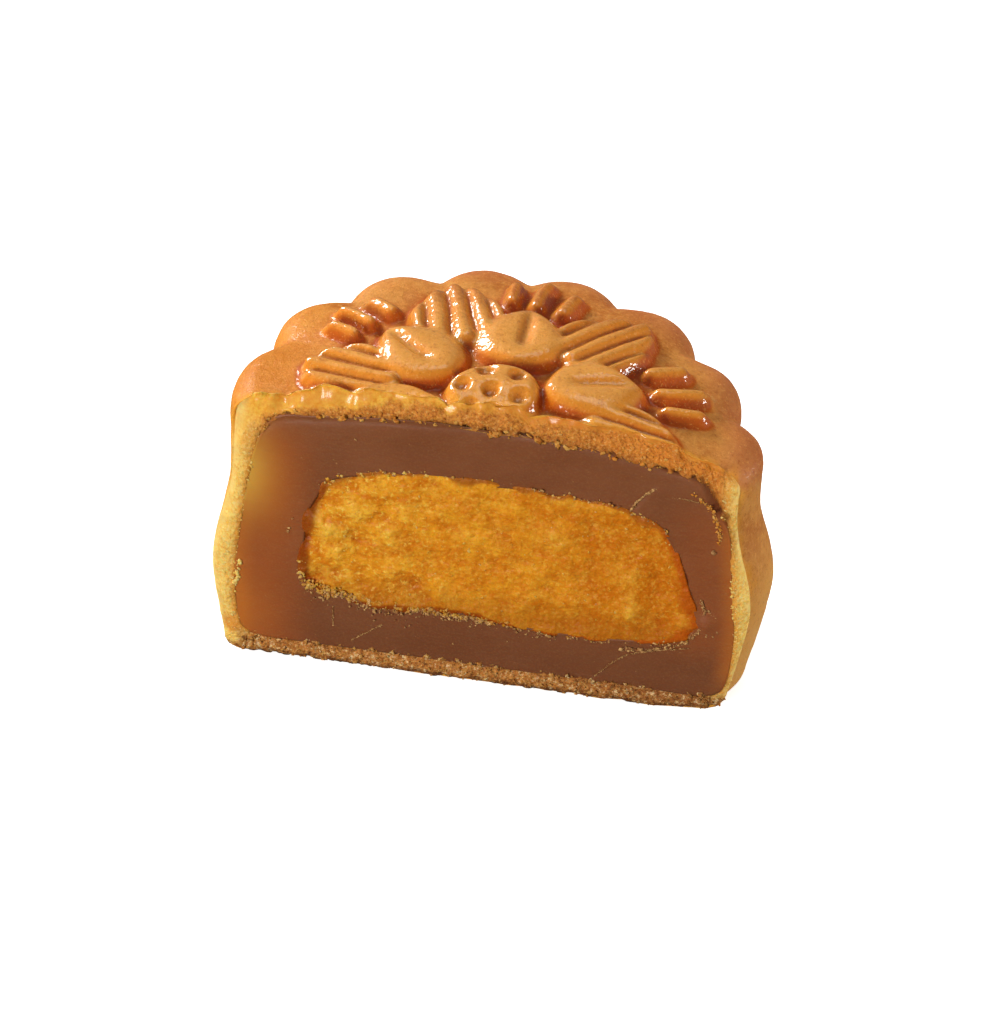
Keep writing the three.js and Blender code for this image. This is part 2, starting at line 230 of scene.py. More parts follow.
def seed_pod(x, y):
    height = POD_HEIGHT * pillow(POD_RADIUS - math.hypot(x, y), POD_RUN, 2.2)
    if height <= 0:
        return 0
    for pit in range(PITS + 1):
        circle = PIT_CIRCLE if pit < PITS else 0
        pit_x, pit_y = spread_out(circle, (pit + 0.5) * 360 / PITS + ROSETTE_TURN)
        away = math.hypot(x - pit_x, y - pit_y)
        height -= PIT_DEPTH * (1 - ease(PIT_FLOOR, PIT_RADIUS, away))
    return max(height, 0)

def rosette_height(plan_x, plan_y):
    x = plan_x + DRAG_SIZE * math.sin(0.33 * plan_x + 0.8) * math.cos(0.29 * plan_y + 1.3)
    y = plan_y + DRAG_SIZE * math.sin(0.31 * plan_y + 0.3) * math.cos(0.27 * plan_x + 2.1)
    radius, bearing = math.hypot(x, y), math.degrees(math.atan2(y, x))
    raised = outer_leaf(radius, bearing)
    for shape in (three_bars, inner_petal):
        raised = blend_higher(raised, shape(radius, bearing), RELIEF_BLEND)
    raised = blend_higher(raised, seed_pod(x, y), RELIEF_BLEND)
    return raised * (1 - KNIFE_PRESS * ease(PRESS_REACH, 0, plan_y + CUT))

def soft_rosette(x, y):
    around = ((0, 0), (SOFTENING, 0), (-SOFTENING, 0), (0, SOFTENING), (0, -SOFTENING))
    return sum(rosette_height(x + dx, y + dy) for dx, dy in around) / len(around)

def fold_depth(x, y):
    """The valleys between the scallops fold in over the edge of the top."""
    crown, _ = scallop_at(math.degrees(math.atan2(y, x)))
    share = math.hypot(x, y) / RIM_RADIUS
    return VALLEY_FOLD * (1 - crown) * ease(1 - VALLEY_REACH, 1 - RIM_ROUND / RIM_RADIUS, share)

def plain_top(x, y):
    share = min(math.hypot(x, y) / RIM_RADIUS, 1)
    return RIM_HEIGHT + DOME_RISE * (1 - share ** 2) - fold_depth(x, y)

# %% [markdown]
# ## Turning skins round the cut
# The outside of each piece is a profile, a row of vertices from the middle of the base out, up the
# wall and back over the top, spun half a turn with bmesh's spin. That gives an even grid, whose
# vertices are then moved from their plain circle to the scalloped one. The two ends of the spin
# lie in the cut and leave one open edge, where the knife's face is joined on.

# %% Spin a skin
WELD = 1e-5

def verts_of(parts):
    """The vertices of edges or faces, each once."""
    return {v for part in parts for v in part.verts}

def smooth_path(points, steps):
    """Steps + 1 points, even in number for each stretch, on a Catmull-Rom curve through points."""
    path = []
    for step in range(steps + 1):
        place = step * (len(points) - 1) / steps
        index = min(int(place), len(points) - 2)
        t = place - index
        before, start, end, after = (
            Vector(points[min(max(index + k, 0), len(points) - 1)]) for k in (-1, 0, 1, 2)
        )
        leave, arrive = (end - before) / 2, (after - start) / 2
        path.append(
            (2 * start - 2 * end + leave + arrive) * t ** 3
            + (-3 * start + 3 * end - 2 * leave - arrive) * t ** 2 + leave * t + start
        )
    return [tuple(point) for point in path]

def even_path(points, steps):
    """The same path with its points spread evenly along its length."""
    lengths = [0]
    for a, b in pairwise(points):
        lengths.append(lengths[-1] + math.dist(a, b))
    wanted = np.linspace(0, lengths[-1], steps + 1)
    return list(zip(*(np.interp(wanted, lengths, axis).tolist() for axis in zip(*points))))

def spin_half(mesh, profile, columns, place):
    """Spins (radius, height) steps half a turn and puts each vertex in its place. Returns the
    open edge in the cut. A vertex's seat is its row, negative on the left."""
    known = set(mesh.verts)
    seat = mesh.verts.layers.int.get("seat") or mesh.verts.layers.int.new("seat")
    path = [mesh.verts.new((radius, 0, height)) for radius, height in profile]
    for row, vert in enumerate(path):
        vert[seat] = row
    edges = [mesh.edges.new(pair) for pair in pairwise(path)]
    bmesh.ops.spin(
        mesh, geom=path + edges, cent=(0, 0, 0), axis=(0, 0, 1), angle=math.pi, steps=columns,
    )
    bmesh.ops.remove_doubles(mesh, verts=[v for v in mesh.verts if v not in known], dist=WELD)
    made = [v for v in mesh.verts if v not in known]
    for vert in made:
        x, y, height = vert.co
        if x < -WELD:
            vert[seat] *= -1
        vert.co = place(math.atan2(max(y, 0), x), math.hypot(x, y), height)
    return list({e for v in made for e in v.link_edges if e.is_boundary})

def join_at_cut(mesh, outer_edge, inner_edge, rows):
    """Fills the knife's face between two open edges with rows of quads. Returns its faces."""
    seat = mesh.verts.layers.int["seat"]
    known = set(mesh.faces)
    inner = {v[seat]: v for v in verts_of(inner_edge)}
    stretched = bmesh.ops.extrude_edge_only(mesh, edges=outer_edge)["geom"]
    moved = [v for v in stretched if isinstance(v, bmesh.types.BMVert)]
    for vert in moved:
        vert.co = inner[vert[seat]].co
    bmesh.ops.remove_doubles(mesh, verts=moved + list(inner.values()), dist=WELD)
    edges = {e for f in mesh.faces if f not in known for e in f.edges}
    rungs = [e for e in edges if e.verts[0][seat] == e.verts[1][seat]]
    bmesh.ops.subdivide_edges(mesh, edges=rungs, cuts=rows - 1, use_grid_fill=True)
    return [f for f in mesh.faces if f not in known]

# %% [markdown]
# ## The crust
# The outside has a flat base, a round foot, the bulging side, the rounded rim and the moulded top.
# Inside is the pocket that the paste fills. Both skins have the same number of rows, so the
# knife's face between them can be one band of quads, bridged from edge to edge and divided
# across, which then takes the crumbs.

# %% Profiles of the crust
CRUST_COLUMNS, POCKET_COLUMNS, BAND_ROWS = 350, 40, 14
BASE_ROWS, FOOT_ROWS, SIDE_ROWS, RIM_ROWS, TOP_ROWS = 14, 8, 74, 8, 108
BASE_CUTS, SIDE_CUTS = 9, 1
POCKET_TOP_ROWS, SIDE_STEPS, WALL_STEPS = 76, 90, 120
TOP_REACH = RIM_RADIUS - RIM_ROUND
BASE_REACH = FOOT_RADIUS - FOOT_ROUND

def quarter(rows):
    return [math.pi / 2 * (row + 1) / rows for row in range(rows)]

side_curve = smooth_path([
    (FOOT_RADIUS, FOOT_ROUND), (BULGE_RADIUS, BULGE_HEIGHT),
    (WAIST_RADIUS, WAIST_HEIGHT), (RIM_RADIUS, RIM_HEIGHT - RIM_ROUND),
], SIDE_STEPS)
crust_profile = [(BASE_REACH * row / BASE_ROWS, 0) for row in range(BASE_ROWS + 1)]
crust_profile += [
    (FOOT_RADIUS - FOOT_ROUND * (1 - math.sin(turn)), FOOT_ROUND * (1 - math.cos(turn)))
    for turn in quarter(FOOT_ROWS)
]
crust_profile += even_path(side_curve, SIDE_ROWS)[1:]
crust_profile += [
    (RIM_RADIUS - RIM_ROUND * (1 - math.cos(turn)), RIM_HEIGHT - RIM_ROUND * (1 - math.sin(turn)))
    for turn in quarter(RIM_ROWS)
]
crust_profile += [(TOP_REACH * (1 - (row + 1) / TOP_ROWS), RIM_HEIGHT) for row in range(TOP_ROWS)]
print("crust profile:", len(crust_profile), "rows")

def crust_skin_point(turn, radius, height):
    if height > RIM_HEIGHT - 0.001:
        share = radius / TOP_REACH
        point = plan_point(turn, share * reach_to_side(turn, TOP_REACH, RIM_HEIGHT), 0)
        point.z = plain_top(point.x, point.y) + soft_rosette(point.x, point.y)
        return settled(point)
    base_share = radius / BASE_REACH if height == 0 else 1
    reach = base_share * reach_to_side(turn, max(radius, BASE_REACH), height)
    point = plan_point(turn, reach, height)
    point.x += FOOT_LEFT * (1 - ease(0, BULGE_HEIGHT, height)) * min(point.x, 0) / FOOT_RADIUS
    point.z += BULGE_LEAN * point.x * math.sin(math.pi * height / RIM_HEIGHT)
    point.z -= fold_depth(point.x, point.y) * ease(0.8, 1, height / RIM_HEIGHT)
    return settled(point)

# %% Profile of the paste and of the crust's pocket
def paste_point(turn, radius, height, spare):
    """radius and height run over the paste's plain profile; spare makes it larger all round."""
    up = clamp01((height - PASTE_FLOOR) / (PASTE_TOP - PASTE_FLOOR))
    edge = crown_edge if up > 0.999 else floor_edge if up < 0.001 else 0
    reach = reach_to_ring(turn, max(radius, edge) + spare, PASTE_VALLEY, 0, 0)
    if radius < edge:
        reach *= radius / edge
    point = plan_point(turn, reach, height + spare * (2 * up - 1))
    point.x += PASTE_RIGHT
    return settled(point)

wall_radii, wall_rises = zip(*PASTE_WALL)
wall_heights = [
    PASTE_FLOOR + rise * (PASTE_TOP - PASTE_FLOOR) / wall_rises[-1] for rise in wall_rises
]
paste_wall = smooth_path(list(zip(wall_radii, wall_heights)), WALL_STEPS)
floor_edge, crown_edge = wall_radii[0], wall_radii[-1]

def paste_profile(floor_rows, wall_rows, crown_rows):
    floor = [(floor_edge * row / floor_rows, PASTE_FLOOR) for row in range(floor_rows)]
    crown = [1 - (row + 1) / crown_rows for row in range(crown_rows)]
    return (
        floor + even_path(paste_wall, wall_rows)
        + [(crown_edge * share, PASTE_TOP + PASTE_DOME * (1 - share ** 2)) for share in crown]
    )

pocket_wall_rows = len(crust_profile) - 1 - BASE_ROWS - POCKET_TOP_ROWS
pocket_profile = paste_profile(BASE_ROWS, pocket_wall_rows, POCKET_TOP_ROWS)
print("pocket profile:", len(pocket_profile), "rows")

# %% Crust mesh: two skins and the knife's band between them
SKIN, BAND, POCKET = 0, 1, 2
crust_mesh = bmesh.new()
skin_edge = spin_half(crust_mesh, crust_profile, CRUST_COLUMNS, crust_skin_point)
skin_faces = len(crust_mesh.faces)
pocket_edge = spin_half(
    crust_mesh, pocket_profile, POCKET_COLUMNS,
    lambda turn, radius, height: paste_point(turn, radius, height, 0),
)
crust_mesh.faces.ensure_lookup_table()
for face in crust_mesh.faces[skin_faces:]:
    face.material_index = POCKET
for face in join_at_cut(crust_mesh, skin_edge, pocket_edge, BAND_ROWS):
    face.material_index = BAND

def faces_of(kind):
    return [f for f in crust_mesh.faces if f.material_index == kind]

def divide_band(cuts, low, high):
    """Divides the band's long cells between two heights, so that crumbs of one size fit on it."""
    seat = crust_mesh.verts.layers.int["seat"]
    edges = {e for f in faces_of(BAND) for e in f.edges}
    along = [e for e in edges if e.verts[0][seat] != e.verts[1][seat]]
    along = [e for e in along if all(low < v.co.z < high for v in e.verts)]
    bmesh.ops.subdivide_edges(crust_mesh, edges=along, cuts=cuts, use_grid_fill=True)

divide_band(BASE_CUTS, -1, PASTE_FLOOR + 0.1)
divide_band(SIDE_CUTS, PASTE_FLOOR + 0.1, RIM_HEIGHT - 3)
bmesh.ops.recalc_face_normals(crust_mesh, faces=crust_mesh.faces)
print("crust:", skin_faces, "skin faces,", len(faces_of(BAND)), "faces in the cut")

# %% [markdown]
# ## What baking and the knife did to the crust
# Baked dough isn't a clean casting. Its skin heaves a little, and the cut shows crumbs: short,
# coarse ones over and under the paste, finer and closer ones in the thin sides, which stayed
# doughy. Sculpting brushes would do this by hand. Here noise moves the vertices, so the crumbs
# are real relief: Voronoi cells give packed grains with dark gaps, and Perlin noise the heaving.
# The skin also rolls over at the knife's edge, in two soft lobes on the left, and the base broke
# off short at its right end.

# %% Helpers for uneven surfaces
GAP_STEEPNESS = 1.6

def blank(mesh):
    """A value of 0 for each vertex."""
    return np.zeros(len(mesh.verts))

def grains(point, size):
    """1 on top of a crumb of that size, 0 in the gap between two."""
    nearest, second = noise.voronoi(point / size)[0][:2]
    return clamp01(GAP_STEEPNESS * (second - nearest))

def waves(point, size, octaves=2):
    return noise.fractal(point / size, 1.0, 2.0, octaves)

def wandering(spot, size, apart, octaves=2):
    """A shift to the side and up or down that differs from place to place on the cut."""
    return Vector((waves(spot, size, octaves), 0, waves(spot + Vector(apart), size, octaves)))

def hump(spot, x, z, wide, high=None):
    """1 at a place on the cut, falling to nothing round it."""
    return math.exp(-((spot.x - x) / wide) ** 2 - ((spot.z - z) / (high or wide)) ** 2)

def distances_to(verts):
    tree = mathutils.kdtree.KDTree(len(verts))
    for index, vert in enumerate(verts):
        tree.insert(vert.co, index)
    tree.balance()
    return lambda point: tree.find(point)[2]

def blurred(mesh, values, rounds):
    """Values at the vertices, each averaged with its neighbours' a number of times."""
    mesh.verts.index_update()
    ends = np.array([[v.index for v in e.verts] for e in mesh.edges]).T
    count = np.bincount(ends.ravel(), minlength=len(values)) + 1
    for _ in range(rounds):
        total = values.copy()
        np.add.at(total, ends[0], values[ends[1]])
        np.add.at(total, ends[1], values[ends[0]])
        values = total / count
    return values

# %% Relief, slopes and grooves of the crust
GROOVE_BLUR, GLAZE_BLUR, FOOT_BLUR, RELIEF_ROUNDS, RIM_ROUNDS = 22, 6, 2, 1, 14
FLAT = 0.02                      # relief under this is the ground
in_skin, in_band, in_pocket = (verts_of(faces_of(kind)) for kind in (SKIN, BAND, POCKET))
seat = crust_mesh.verts.layers.int["seat"]
first_top_row = len(crust_profile) - TOP_ROWS - RIM_ROWS

def soften(first_row, last_row, rounds):
    """Rounds the skin's edges over between two rows, as dough does when it bakes."""
    rows = range(first_row, last_row)
    verts = [v for v in in_skin - in_band if abs(v[seat]) in rows]
    for _ in range(rounds):
        bmesh.ops.smooth_vert(
            crust_mesh, verts=verts, factor=0.5,
            use_axis_x=True, use_axis_y=True, use_axis_z=True,
        )

soften(first_top_row + RIM_ROWS, len(crust_profile) - 2, RELIEF_ROUNDS)
soften(first_top_row - 2, first_top_row + RIM_ROWS + 10, RIM_ROUNDS)
from_skin, from_pocket = distances_to(in_band & in_skin), distances_to(in_band & in_pocket)
crust_mesh.normal_update()
relief, slope, foot = (blank(crust_mesh) for _ in range(3))
for index, vert in enumerate(crust_mesh.verts):
    if abs(vert[seat]) >= first_top_row and vert not in in_pocket and vert not in in_band:
        relief[index] = vert.co.z / settle(vert.co.x) - plain_top(vert.co.x, vert.co.y)
        # foot: the foot of each raised shape, most where it faces away from the window light. The
        # finish paints it dark orange: partly pooled glaze, partly painted shade.
        away_from_window = clamp01(0.6 + 0.8 * vert.normal.x - 0.8 * vert.normal.y)
        inside_rim = ease(21.5, 20.2, math.hypot(vert.co.x, vert.co.y))
        slope[index] = (1 - vert.normal.z) * inside_rim
        on_bank = ease(0.03, 0.2, slope[index]) * ease(1.4, 0.5, relief[index])
        foot[index] = on_bank * away_from_window * inside_rim
relief = np.clip(relief, 0, None)
slope *= relief > FLAT
foot = blurred(crust_mesh, foot * (relief > FLAT), FOOT_BLUR)
# The grooves, which the finish paints deep orange: glaze pooled there, and painted shade too.
groove = blurred(crust_mesh, relief, GROOVE_BLUR) - relief
print("relief up to", round(relief.max(), 2), "mm, grooves", round(groove.max(), 2), "mm deep")

# %% Crumbs, the rolled edge and the broken base
SKIN_HEAVE, CRUMB_RISE, DOUGH_RISE = 0.07, 0.36, 0.1
BASE_ROLL, LIP_ROLL, WALL_ROLL, WALL_SWELL = 0.35, 1.1, 0.6, 0.16
LIP_RISE, LIP_REACH, LIP_PITCH, LIP_BULGE = 1.25, 1.2, 6.2, 0.25
CORNER_LUMP, CRACK_WIDTH, CRACK_DEPTH, PIT_SINK = Vector((-1.1, 0, -1.0)), 0.24, 0.9, 0.3
CRUMB_SIZES = ((0.6, 0.45), (0.34, 0.35), (0.2, 0.2))
PASTE_MIDDLE = Vector((PASTE_RIGHT, -CUT, 15))

def crumb_height(spot):
    return sum(share * grains(spot, size) for size, share in CRUMB_SIZES) - 0.5

def in_side_wall(spot):
    """1 where the band is the thin side of the crust, 0 over and under the paste."""
    outward = abs(spot.x - PASTE_RIGHT)
    return ease(20.6, 22.4, outward) * ease(1.4, 3.5, spot.z) * ease(28.6, 26, spot.z)

def edge_roll(spot):
    """How far the dough rounds over at the knife's edge: most on the lip, least at the base."""
    on_lip = (LIP_ROLL - BASE_ROLL) * ease(24, 28, spot.z)
    return BASE_ROLL + on_lip + (WALL_ROLL - BASE_ROLL) * in_side_wall(spot)

def lip_width(spot):
    """How far the smooth skin is drawn down over the cut before the crumb starts."""
    return (0.15 * ease(13, 8, spot.x) + 0.6 * ease(-8, -12, spot.x)) * ease(23, 27, spot.z)

def edge_shift(spot):
    """How far the line between crust and paste strays on the cut: up on the left, where the dough
    is thin, and in at the upper right corner, where a lump of crumb sits."""
    thin = ease(3, -5, spot.x) * ease(-23, -19, spot.x) * ease(23, 27, spot.z)
    return Vector((0, 0, 0.5)) * thin + CORNER_LUMP * hump(spot, 21.2, 25.2, 2.6)

def corner_crack(spot, pocket_away):
    """The torn line between crumb and paste in the upper right corner."""
    torn_away = pocket_away - 0.3 - 0.25 * waves(spot, 1.1)
    return hump(spot, 21.6, 24.2, 2, 3) * bell(torn_away, CRACK_WIDTH)

def top_lip(spot, behind):
    """How far the skin stands up at the knife's edge of the top: in two lobes on the left."""
    wave = abs(math.sin(math.pi * (spot.x + 0.2) / LIP_PITCH))
    lobes = 0.15 + 0.85 * ease(-9, -13, spot.x) * wave
    return LIP_RISE * lobes * bell(behind, LIP_REACH) * ease(25.5, 27.5, spot.z)

def rolled(spot, away, power=1.0):
    """How far the edge is rounded back, at a distance from it."""
    radius = edge_roll(spot)
    return radius * (1 + 0.4 * waves(spot, 1.7)) * math.exp(-((away / radius) ** power))

def smooth_share(spot, edge_away):
    """1 where smooth skin lies over the cut, and less the further the crumb is laid bare."""
    torn = edge_away + 0.35 * waves(spot, 1.4) + 0.25 * waves(spot, 0.5)
    soft = 0.2 + 0.2 * ease(13, 8, spot.x) + 0.15 * ease(-4, -8, spot.x)
    return fade(max(torn - lip_width(spot), 0), soft)

# %% Move the crust's vertices
crumb, crack, smooth_lip, near_paste, pit = (blank(crust_mesh) for _ in range(5))
crumb_moves = []
for index, vert in enumerate(crust_mesh.verts):
    spot = vert.co.copy()
    behind = spot.y + CUT
    lip = top_lip(spot, behind)
    if vert in in_band:
        edge_away, pocket_away = from_skin(spot), from_pocket(spot)
        side = in_side_wall(spot)
        crumb[index] = crumb_height(spot)
        crack[index] = corner_crack(spot, pocket_away)
        smooth_lip[index] = smooth_share(spot, edge_away)
        near_paste[index] = fade(pocket_away, 0.6)
        # Pits near the paste, sunk a little and painted dark as shade in the finish.
        holes = ease(0, 0.35, waves(spot + Vector((40, 0, 0)), 0.9))
        pit[index] = holes * ease(0.7, 0.1, pocket_away) * (1 - side)
        rise = crumb[index] * (CRUMB_RISE + side * (DOUGH_RISE - CRUMB_RISE))
        rise += 0.1 * waves(spot, 2.2)
        rise *= ease(0, 0.3, edge_away) * (1 - smooth_lip[index] * ease(23, 27, spot.z))
        across = edge_away / (edge_away + pocket_away + 1e-6)
        swell = side * WALL_SWELL * math.sin(math.pi * across) * (1 + waves(spot, 2.6))
        rise += swell - CRACK_DEPTH * crack[index]
        move = Vector((0, rolled(spot, edge_away, 1.5) - rise + PIT_SINK * pit[index], 0))
        inward = (PASTE_MIDDLE - spot).normalized()
        ragged = (0.5 + 0.5 * crumb[index] + waves(spot, 0.6)) * (0.24 - 0.16 * side)
        move += inward * ragged * fade(pocket_away, 0.4) + edge_shift(spot) * fade(pocket_away, 0.9)
        move.z += lip * fade(edge_away, 0.5)
        move.y -= LIP_BULGE * lip * bell(edge_away - 0.4, 0.7)
    elif vert in in_pocket:
        continue
    else:
        move = vert.normal * SKIN_HEAVE * waves(spot, 3, 3)
        move.y += rolled(spot, behind)
        move += Vector((0, -LIP_BULGE * lip, lip))
    low = ease(2.5, 0.2, spot.z) * fade(max(behind, 0), 0.9)
    if low > 0.01:
        move.z += low * (0.3 * clamp01(waves(spot, 0.8) + 0.3) + 0.55 * ease(17, 23.5, spot.x))
        move.x -= low * 0.9 * ease(21, 24, spot.x) * clamp01(0.4 + waves(spot, 1.1))
    crumb_moves.append((vert, move))
for vert, move in crumb_moves:
    vert.co += move
    vert.co.z = max(vert.co.z, 0)
for face in faces_of(POCKET):
    face.material_index = BAND
print("moved", len(crumb_moves), "vertices of the crust")

# %% [markdown]
# ## From a mesh in millimetres to a piece in the frame
# A finished mesh is scaled to metres and set where its solid stands: the crust's lowest corner
# gives the place, and the filling moves with it. A value for each vertex, such as how deep in a
# groove it lies, is kept as an attribute, because a material can read it.

# %% Helpers for pieces
def to_data(name, mesh):
    """Turns a bmesh into mesh data."""
    data = bpy.data.meshes.new(name)
    mesh.to_mesh(data)
    mesh.free()
    return data

def to_scene(name, data):
    """Puts a new object with that data in the scene."""
    thing = bpy.data.objects.new(name, data)
    bpy.context.scene.collection.objects.link(thing)
    return thing

# %% Make a piece
cad_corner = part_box("crust")[0]
own_corner = Vector((min(v.co.x for v in crust_mesh.verts), -CUT, 0))
TO_FRAME = cad_corner - own_corner * MM
TO_FRAME.z = cad_corner.z
print("the cake's axis stands at", [round(1000 * side, 3) for side in TO_FRAME])

def make_piece(name, mesh, finishes, attributes):
    """Turns a bmesh in millimetres round the cake's axis into an object of the frame."""
    bmesh.ops.scale(mesh, vec=(MM, MM, MM), verts=mesh.verts)
    bmesh.ops.translate(mesh, vec=TO_FRAME, verts=mesh.verts)
    data = to_data(name, mesh)
    data.shade_smooth()
    for finish in finishes:
        data.materials.append(finish.material)
    for title, values in attributes.items():
        data.attributes.new(title, "FLOAT", "POINT").data.foreach_set("value", values)
    piece = to_scene(name, data)
    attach(piece, "root")
    print(name, "has", sum(len(face.vertices) - 2 for face in data.polygons), "triangles")
    return piece

# %% [markdown]
# ## The yolk
# Salted yolk is grainy and oily: thousands of tiny round grains pressed together, which smear
# along the knife's path and break away in lumps. Its block form is a superellipse, an ellipse
# with fuller corners, as wide at any depth as the round of the cake lets it be. The cut face is a
# grid, bent from a square to that outline, so that its cells stay even in size for the grains,
# and its rim is extruded back into the paste in steps that follow the same form.

# %% The yolk's form
YOLK_SPARE, HALVINGS = 0.3, 24
WHOLE_REACH, WHOLE_HALF_HEIGHT = YOLK_REACH + YOLK_SPARE, YOLK_HALF_HEIGHT + YOLK_SPARE

def yolk_place(x, depth, rise):
    """Leans and shifts a point of the plain superellipsoid; depth is behind the cake's axis."""
    point = Vector((x, depth, YOLK_MIDDLE + rise))
    point.z -= YOLK_LEAN * x
    point.x += YOLK_RIGHT - YOLK_SAG * rise * clamp01(x / YOLK_REACH)
    return point

def filled(across, rise):
    """1 on the superellipse, for shares of its half width and half height."""
    return across ** YOLK_SQUARENESS + rise ** YOLK_SQUARENESS

def yolk_scale(x, rise, depth):
    """How much a point of the rim at the cut shrinks at a depth, to stay on the yolk's skin."""
    low, high = 0, 1
    for _ in range(HALVINGS):
        middle = (low + high) / 2
        across = math.hypot(middle * x, depth) / WHOLE_REACH
        full = filled(across, middle * abs(rise) / WHOLE_HALF_HEIGHT)
        low, high = (middle, high) if full < 1 else (low, middle)
    return low

# %% Yolk mesh
YOLK_LONG, YOLK_HIGH, YOLK_STEPS = 270, 122, 14
BACK_FLAT = 0.3                  # the last ring stops this far short of the yolk's back
yolk_half_width = math.sqrt(WHOLE_REACH ** 2 - CUT ** 2)
yolk_mesh = bmesh.new()
bmesh.ops.create_grid(
    yolk_mesh, x_segments=YOLK_LONG, y_segments=YOLK_HIGH, size=1,
    matrix=Matrix.Rotation(math.radians(90), 4, "X"),
)
for vert in yolk_mesh.verts:
    u, v = vert.co.x, vert.co.z
    from_middle = filled(abs(u), abs(v)) ** (1 / YOLK_SQUARENESS)
    round_off = max(abs(u), abs(v)) / max(from_middle, 1e-9)
    vert.co = (u * round_off * yolk_half_width, -CUT, v * round_off * WHOLE_HALF_HEIGHT)
face_verts = list(yolk_mesh.verts)
rim = [e for e in yolk_mesh.edges if e.is_boundary]
rim_start = {v: v.co.copy() for e in rim for v in e.verts}
previous = rim_start
for step in range(1, YOLK_STEPS + 1):
    depth = -CUT + (WHOLE_REACH + CUT - BACK_FLAT) * math.sin(math.pi / 2 * step / YOLK_STEPS)
    made = bmesh.ops.extrude_edge_only(yolk_mesh, edges=rim)["geom"]
    rim = [e for e in made if isinstance(e, bmesh.types.BMEdge) and e.is_boundary]
    starts = {}
    for vert in verts_of(rim):
        behind = next(e.other_vert(vert) for e in vert.link_edges if e.other_vert(vert) in previous)
        starts[vert] = previous[behind]
        shrink = yolk_scale(starts[vert].x, starts[vert].z, depth)
        vert.co = (shrink * starts[vert].x, depth, shrink * starts[vert].z)
    previous = starts
bmesh.ops.contextual_create(yolk_mesh, geom=rim)
for vert in yolk_mesh.verts:
    vert.co = yolk_place(vert.co.x, vert.co.y, vert.co.z)
bmesh.ops.recalc_face_normals(yolk_mesh, faces=yolk_mesh.faces)

# %% Grains, smears and the torn rim of the yolk
YOLK_LUMPS, YOLK_STREAKS, YOLK_TEAR, YOLK_PROUD = 0.24, 0.05, 0.1, 0.08
YOLK_RAGGED, FINE_RAGGED = 0.4, 0.45
YOLK_GRAINS = ((1.8, 0.05), (0.9, 0.05), (0.42, 0.05))
DRAGGED_PLACES = (               # place on the cut, reach, and how far the knife dragged the rim
    (-18, 21, 3, 1.5, -0.5), (-18, 15.5, 3, 0.5, 0), (-13, 23.5, 4, 0.1, -0.45),
    (-16.6, 8.8, 2.6, -0.5, -0.6), (-2, 7.4, 5.5, 0, 0.9), (20.4, 9.5, 2.6, 0.55, -0.1),
    (17.4, 22, 2.2, 0.1, 0.1), (-3, 23.5, 4, 0, 0.45),
)
YOLK_HUMPS = (                   # place on the cut, reach, and height; torn out where negative
    (21.4, 11.8, 0.7, -0.8), (20.8, 8.7, 0.8, -0.7), (-15.6, 9.7, 1.2, -0.3),
    (-12.9, 8.6, 1.2, -0.3), (-14.2, 16.3, 1.3, 0.42), (-13.6, 13.4, 1.1, 0.36),
    (-11.4, 18.6, 1.5, 0.3), (-15.3, 18.6, 0.9, -0.35), (-16.2, 14.6, 0.6, -0.3),
    (-11.6, 15.4, 0.7, -0.25), (-8.6, 16.6, 1.2, 0.22), (-13, 11.2, 0.8, -0.2),
    (1.5, 14.5, 0.7, -0.2), (-6, 11, 1.6, -0.2), (6.5, 19.5, 1.1, 0.2),
    (10.2, 20.8, 0.9, -0.25), (14, 12, 1.3, 0.15),
)

def dragged(spot):
    """How far a place on the cut near the yolk's rim lies from the plain oval."""
    moved = Vector((0, 0, 0))
    for x, z, reach, right, up in DRAGGED_PLACES:
        moved += Vector((right, 0, up)) * hump(spot, x, z, reach)
    return moved

def yolk_relief(spot, rim_away):
    """How far the cut yolk stands out: lumps, streaks along the knife's path, grains, tears."""
    out = YOLK_LUMPS * waves(Vector((spot.x * 0.9, 0, spot.z + 0.08 * spot.x)), 2.8, 3)
    out += YOLK_STREAKS * waves(Vector((spot.x * 0.4, 30, spot.z + 0.12 * spot.x)), 0.7, 2)
    out += sum(
        height * (grains(spot + Vector((0, 7 * size, 0)), size) - 0.5)
        for size, height in YOLK_GRAINS
    )
    out -= YOLK_TEAR * fade(rim_away, 0.5) * (0.7 + waves(spot + Vector((0, 20, 0)), 1.3))
    uneven = spot + 0.5 * wandering(spot, 1.1, (7, 0, 7))
    return out + sum(height * hump(uneven, x, z, reach) for x, z, reach, height in YOLK_HUMPS)

def oily_width(spot):
    """The oily rim is wider at the ends, and narrow low down in the middle and on the right."""
    width = 0.25 + 0.9 * clamp01(0.35 + waves(spot, 3))
    width = width + 0.5 * ease(-13, -16, spot.x) + 0.6 * ease(14, 19, spot.x)
    return width * (1 - 0.6 * ease(10.5, 9, spot.z) * ease(-2, 4, spot.x) * ease(19.5, 18, spot.x))

# %% Move the vertices of the yolk's face
from_rim = distances_to(rim_start)
oily, grain_top = blank(yolk_mesh), blank(yolk_mesh)
yolk_mesh.verts.index_update()
for vert in face_verts:
    plain = vert.co.copy()
    rim_away = from_rim(plain)
    spot = plain + dragged(plain)
    out = yolk_relief(spot, rim_away)
    ragged = fade(rim_away, 0.8) * (1 - 0.75 * ease(11, 17, spot.x))
    sideways = wandering(spot, 1.9, (9, 9, 9), 1) * YOLK_RAGGED
    sideways += wandering(spot, 0.7, (5, 5, 5), 1) * YOLK_RAGGED * FINE_RAGGED
    vert.co = spot + ragged * sideways - Vector((0, out + YOLK_PROUD, 0))
    grain_top[vert.index] = out
    pool = 0.4 * hump(spot, -15.6, 20.4, 1.7)
    oily[vert.index] = min(bell(rim_away, oily_width(spot)) + pool, 1)
print("yolk relief from", round(grain_top.min(), 2), "to", round(grain_top.max(), 2), "mm")

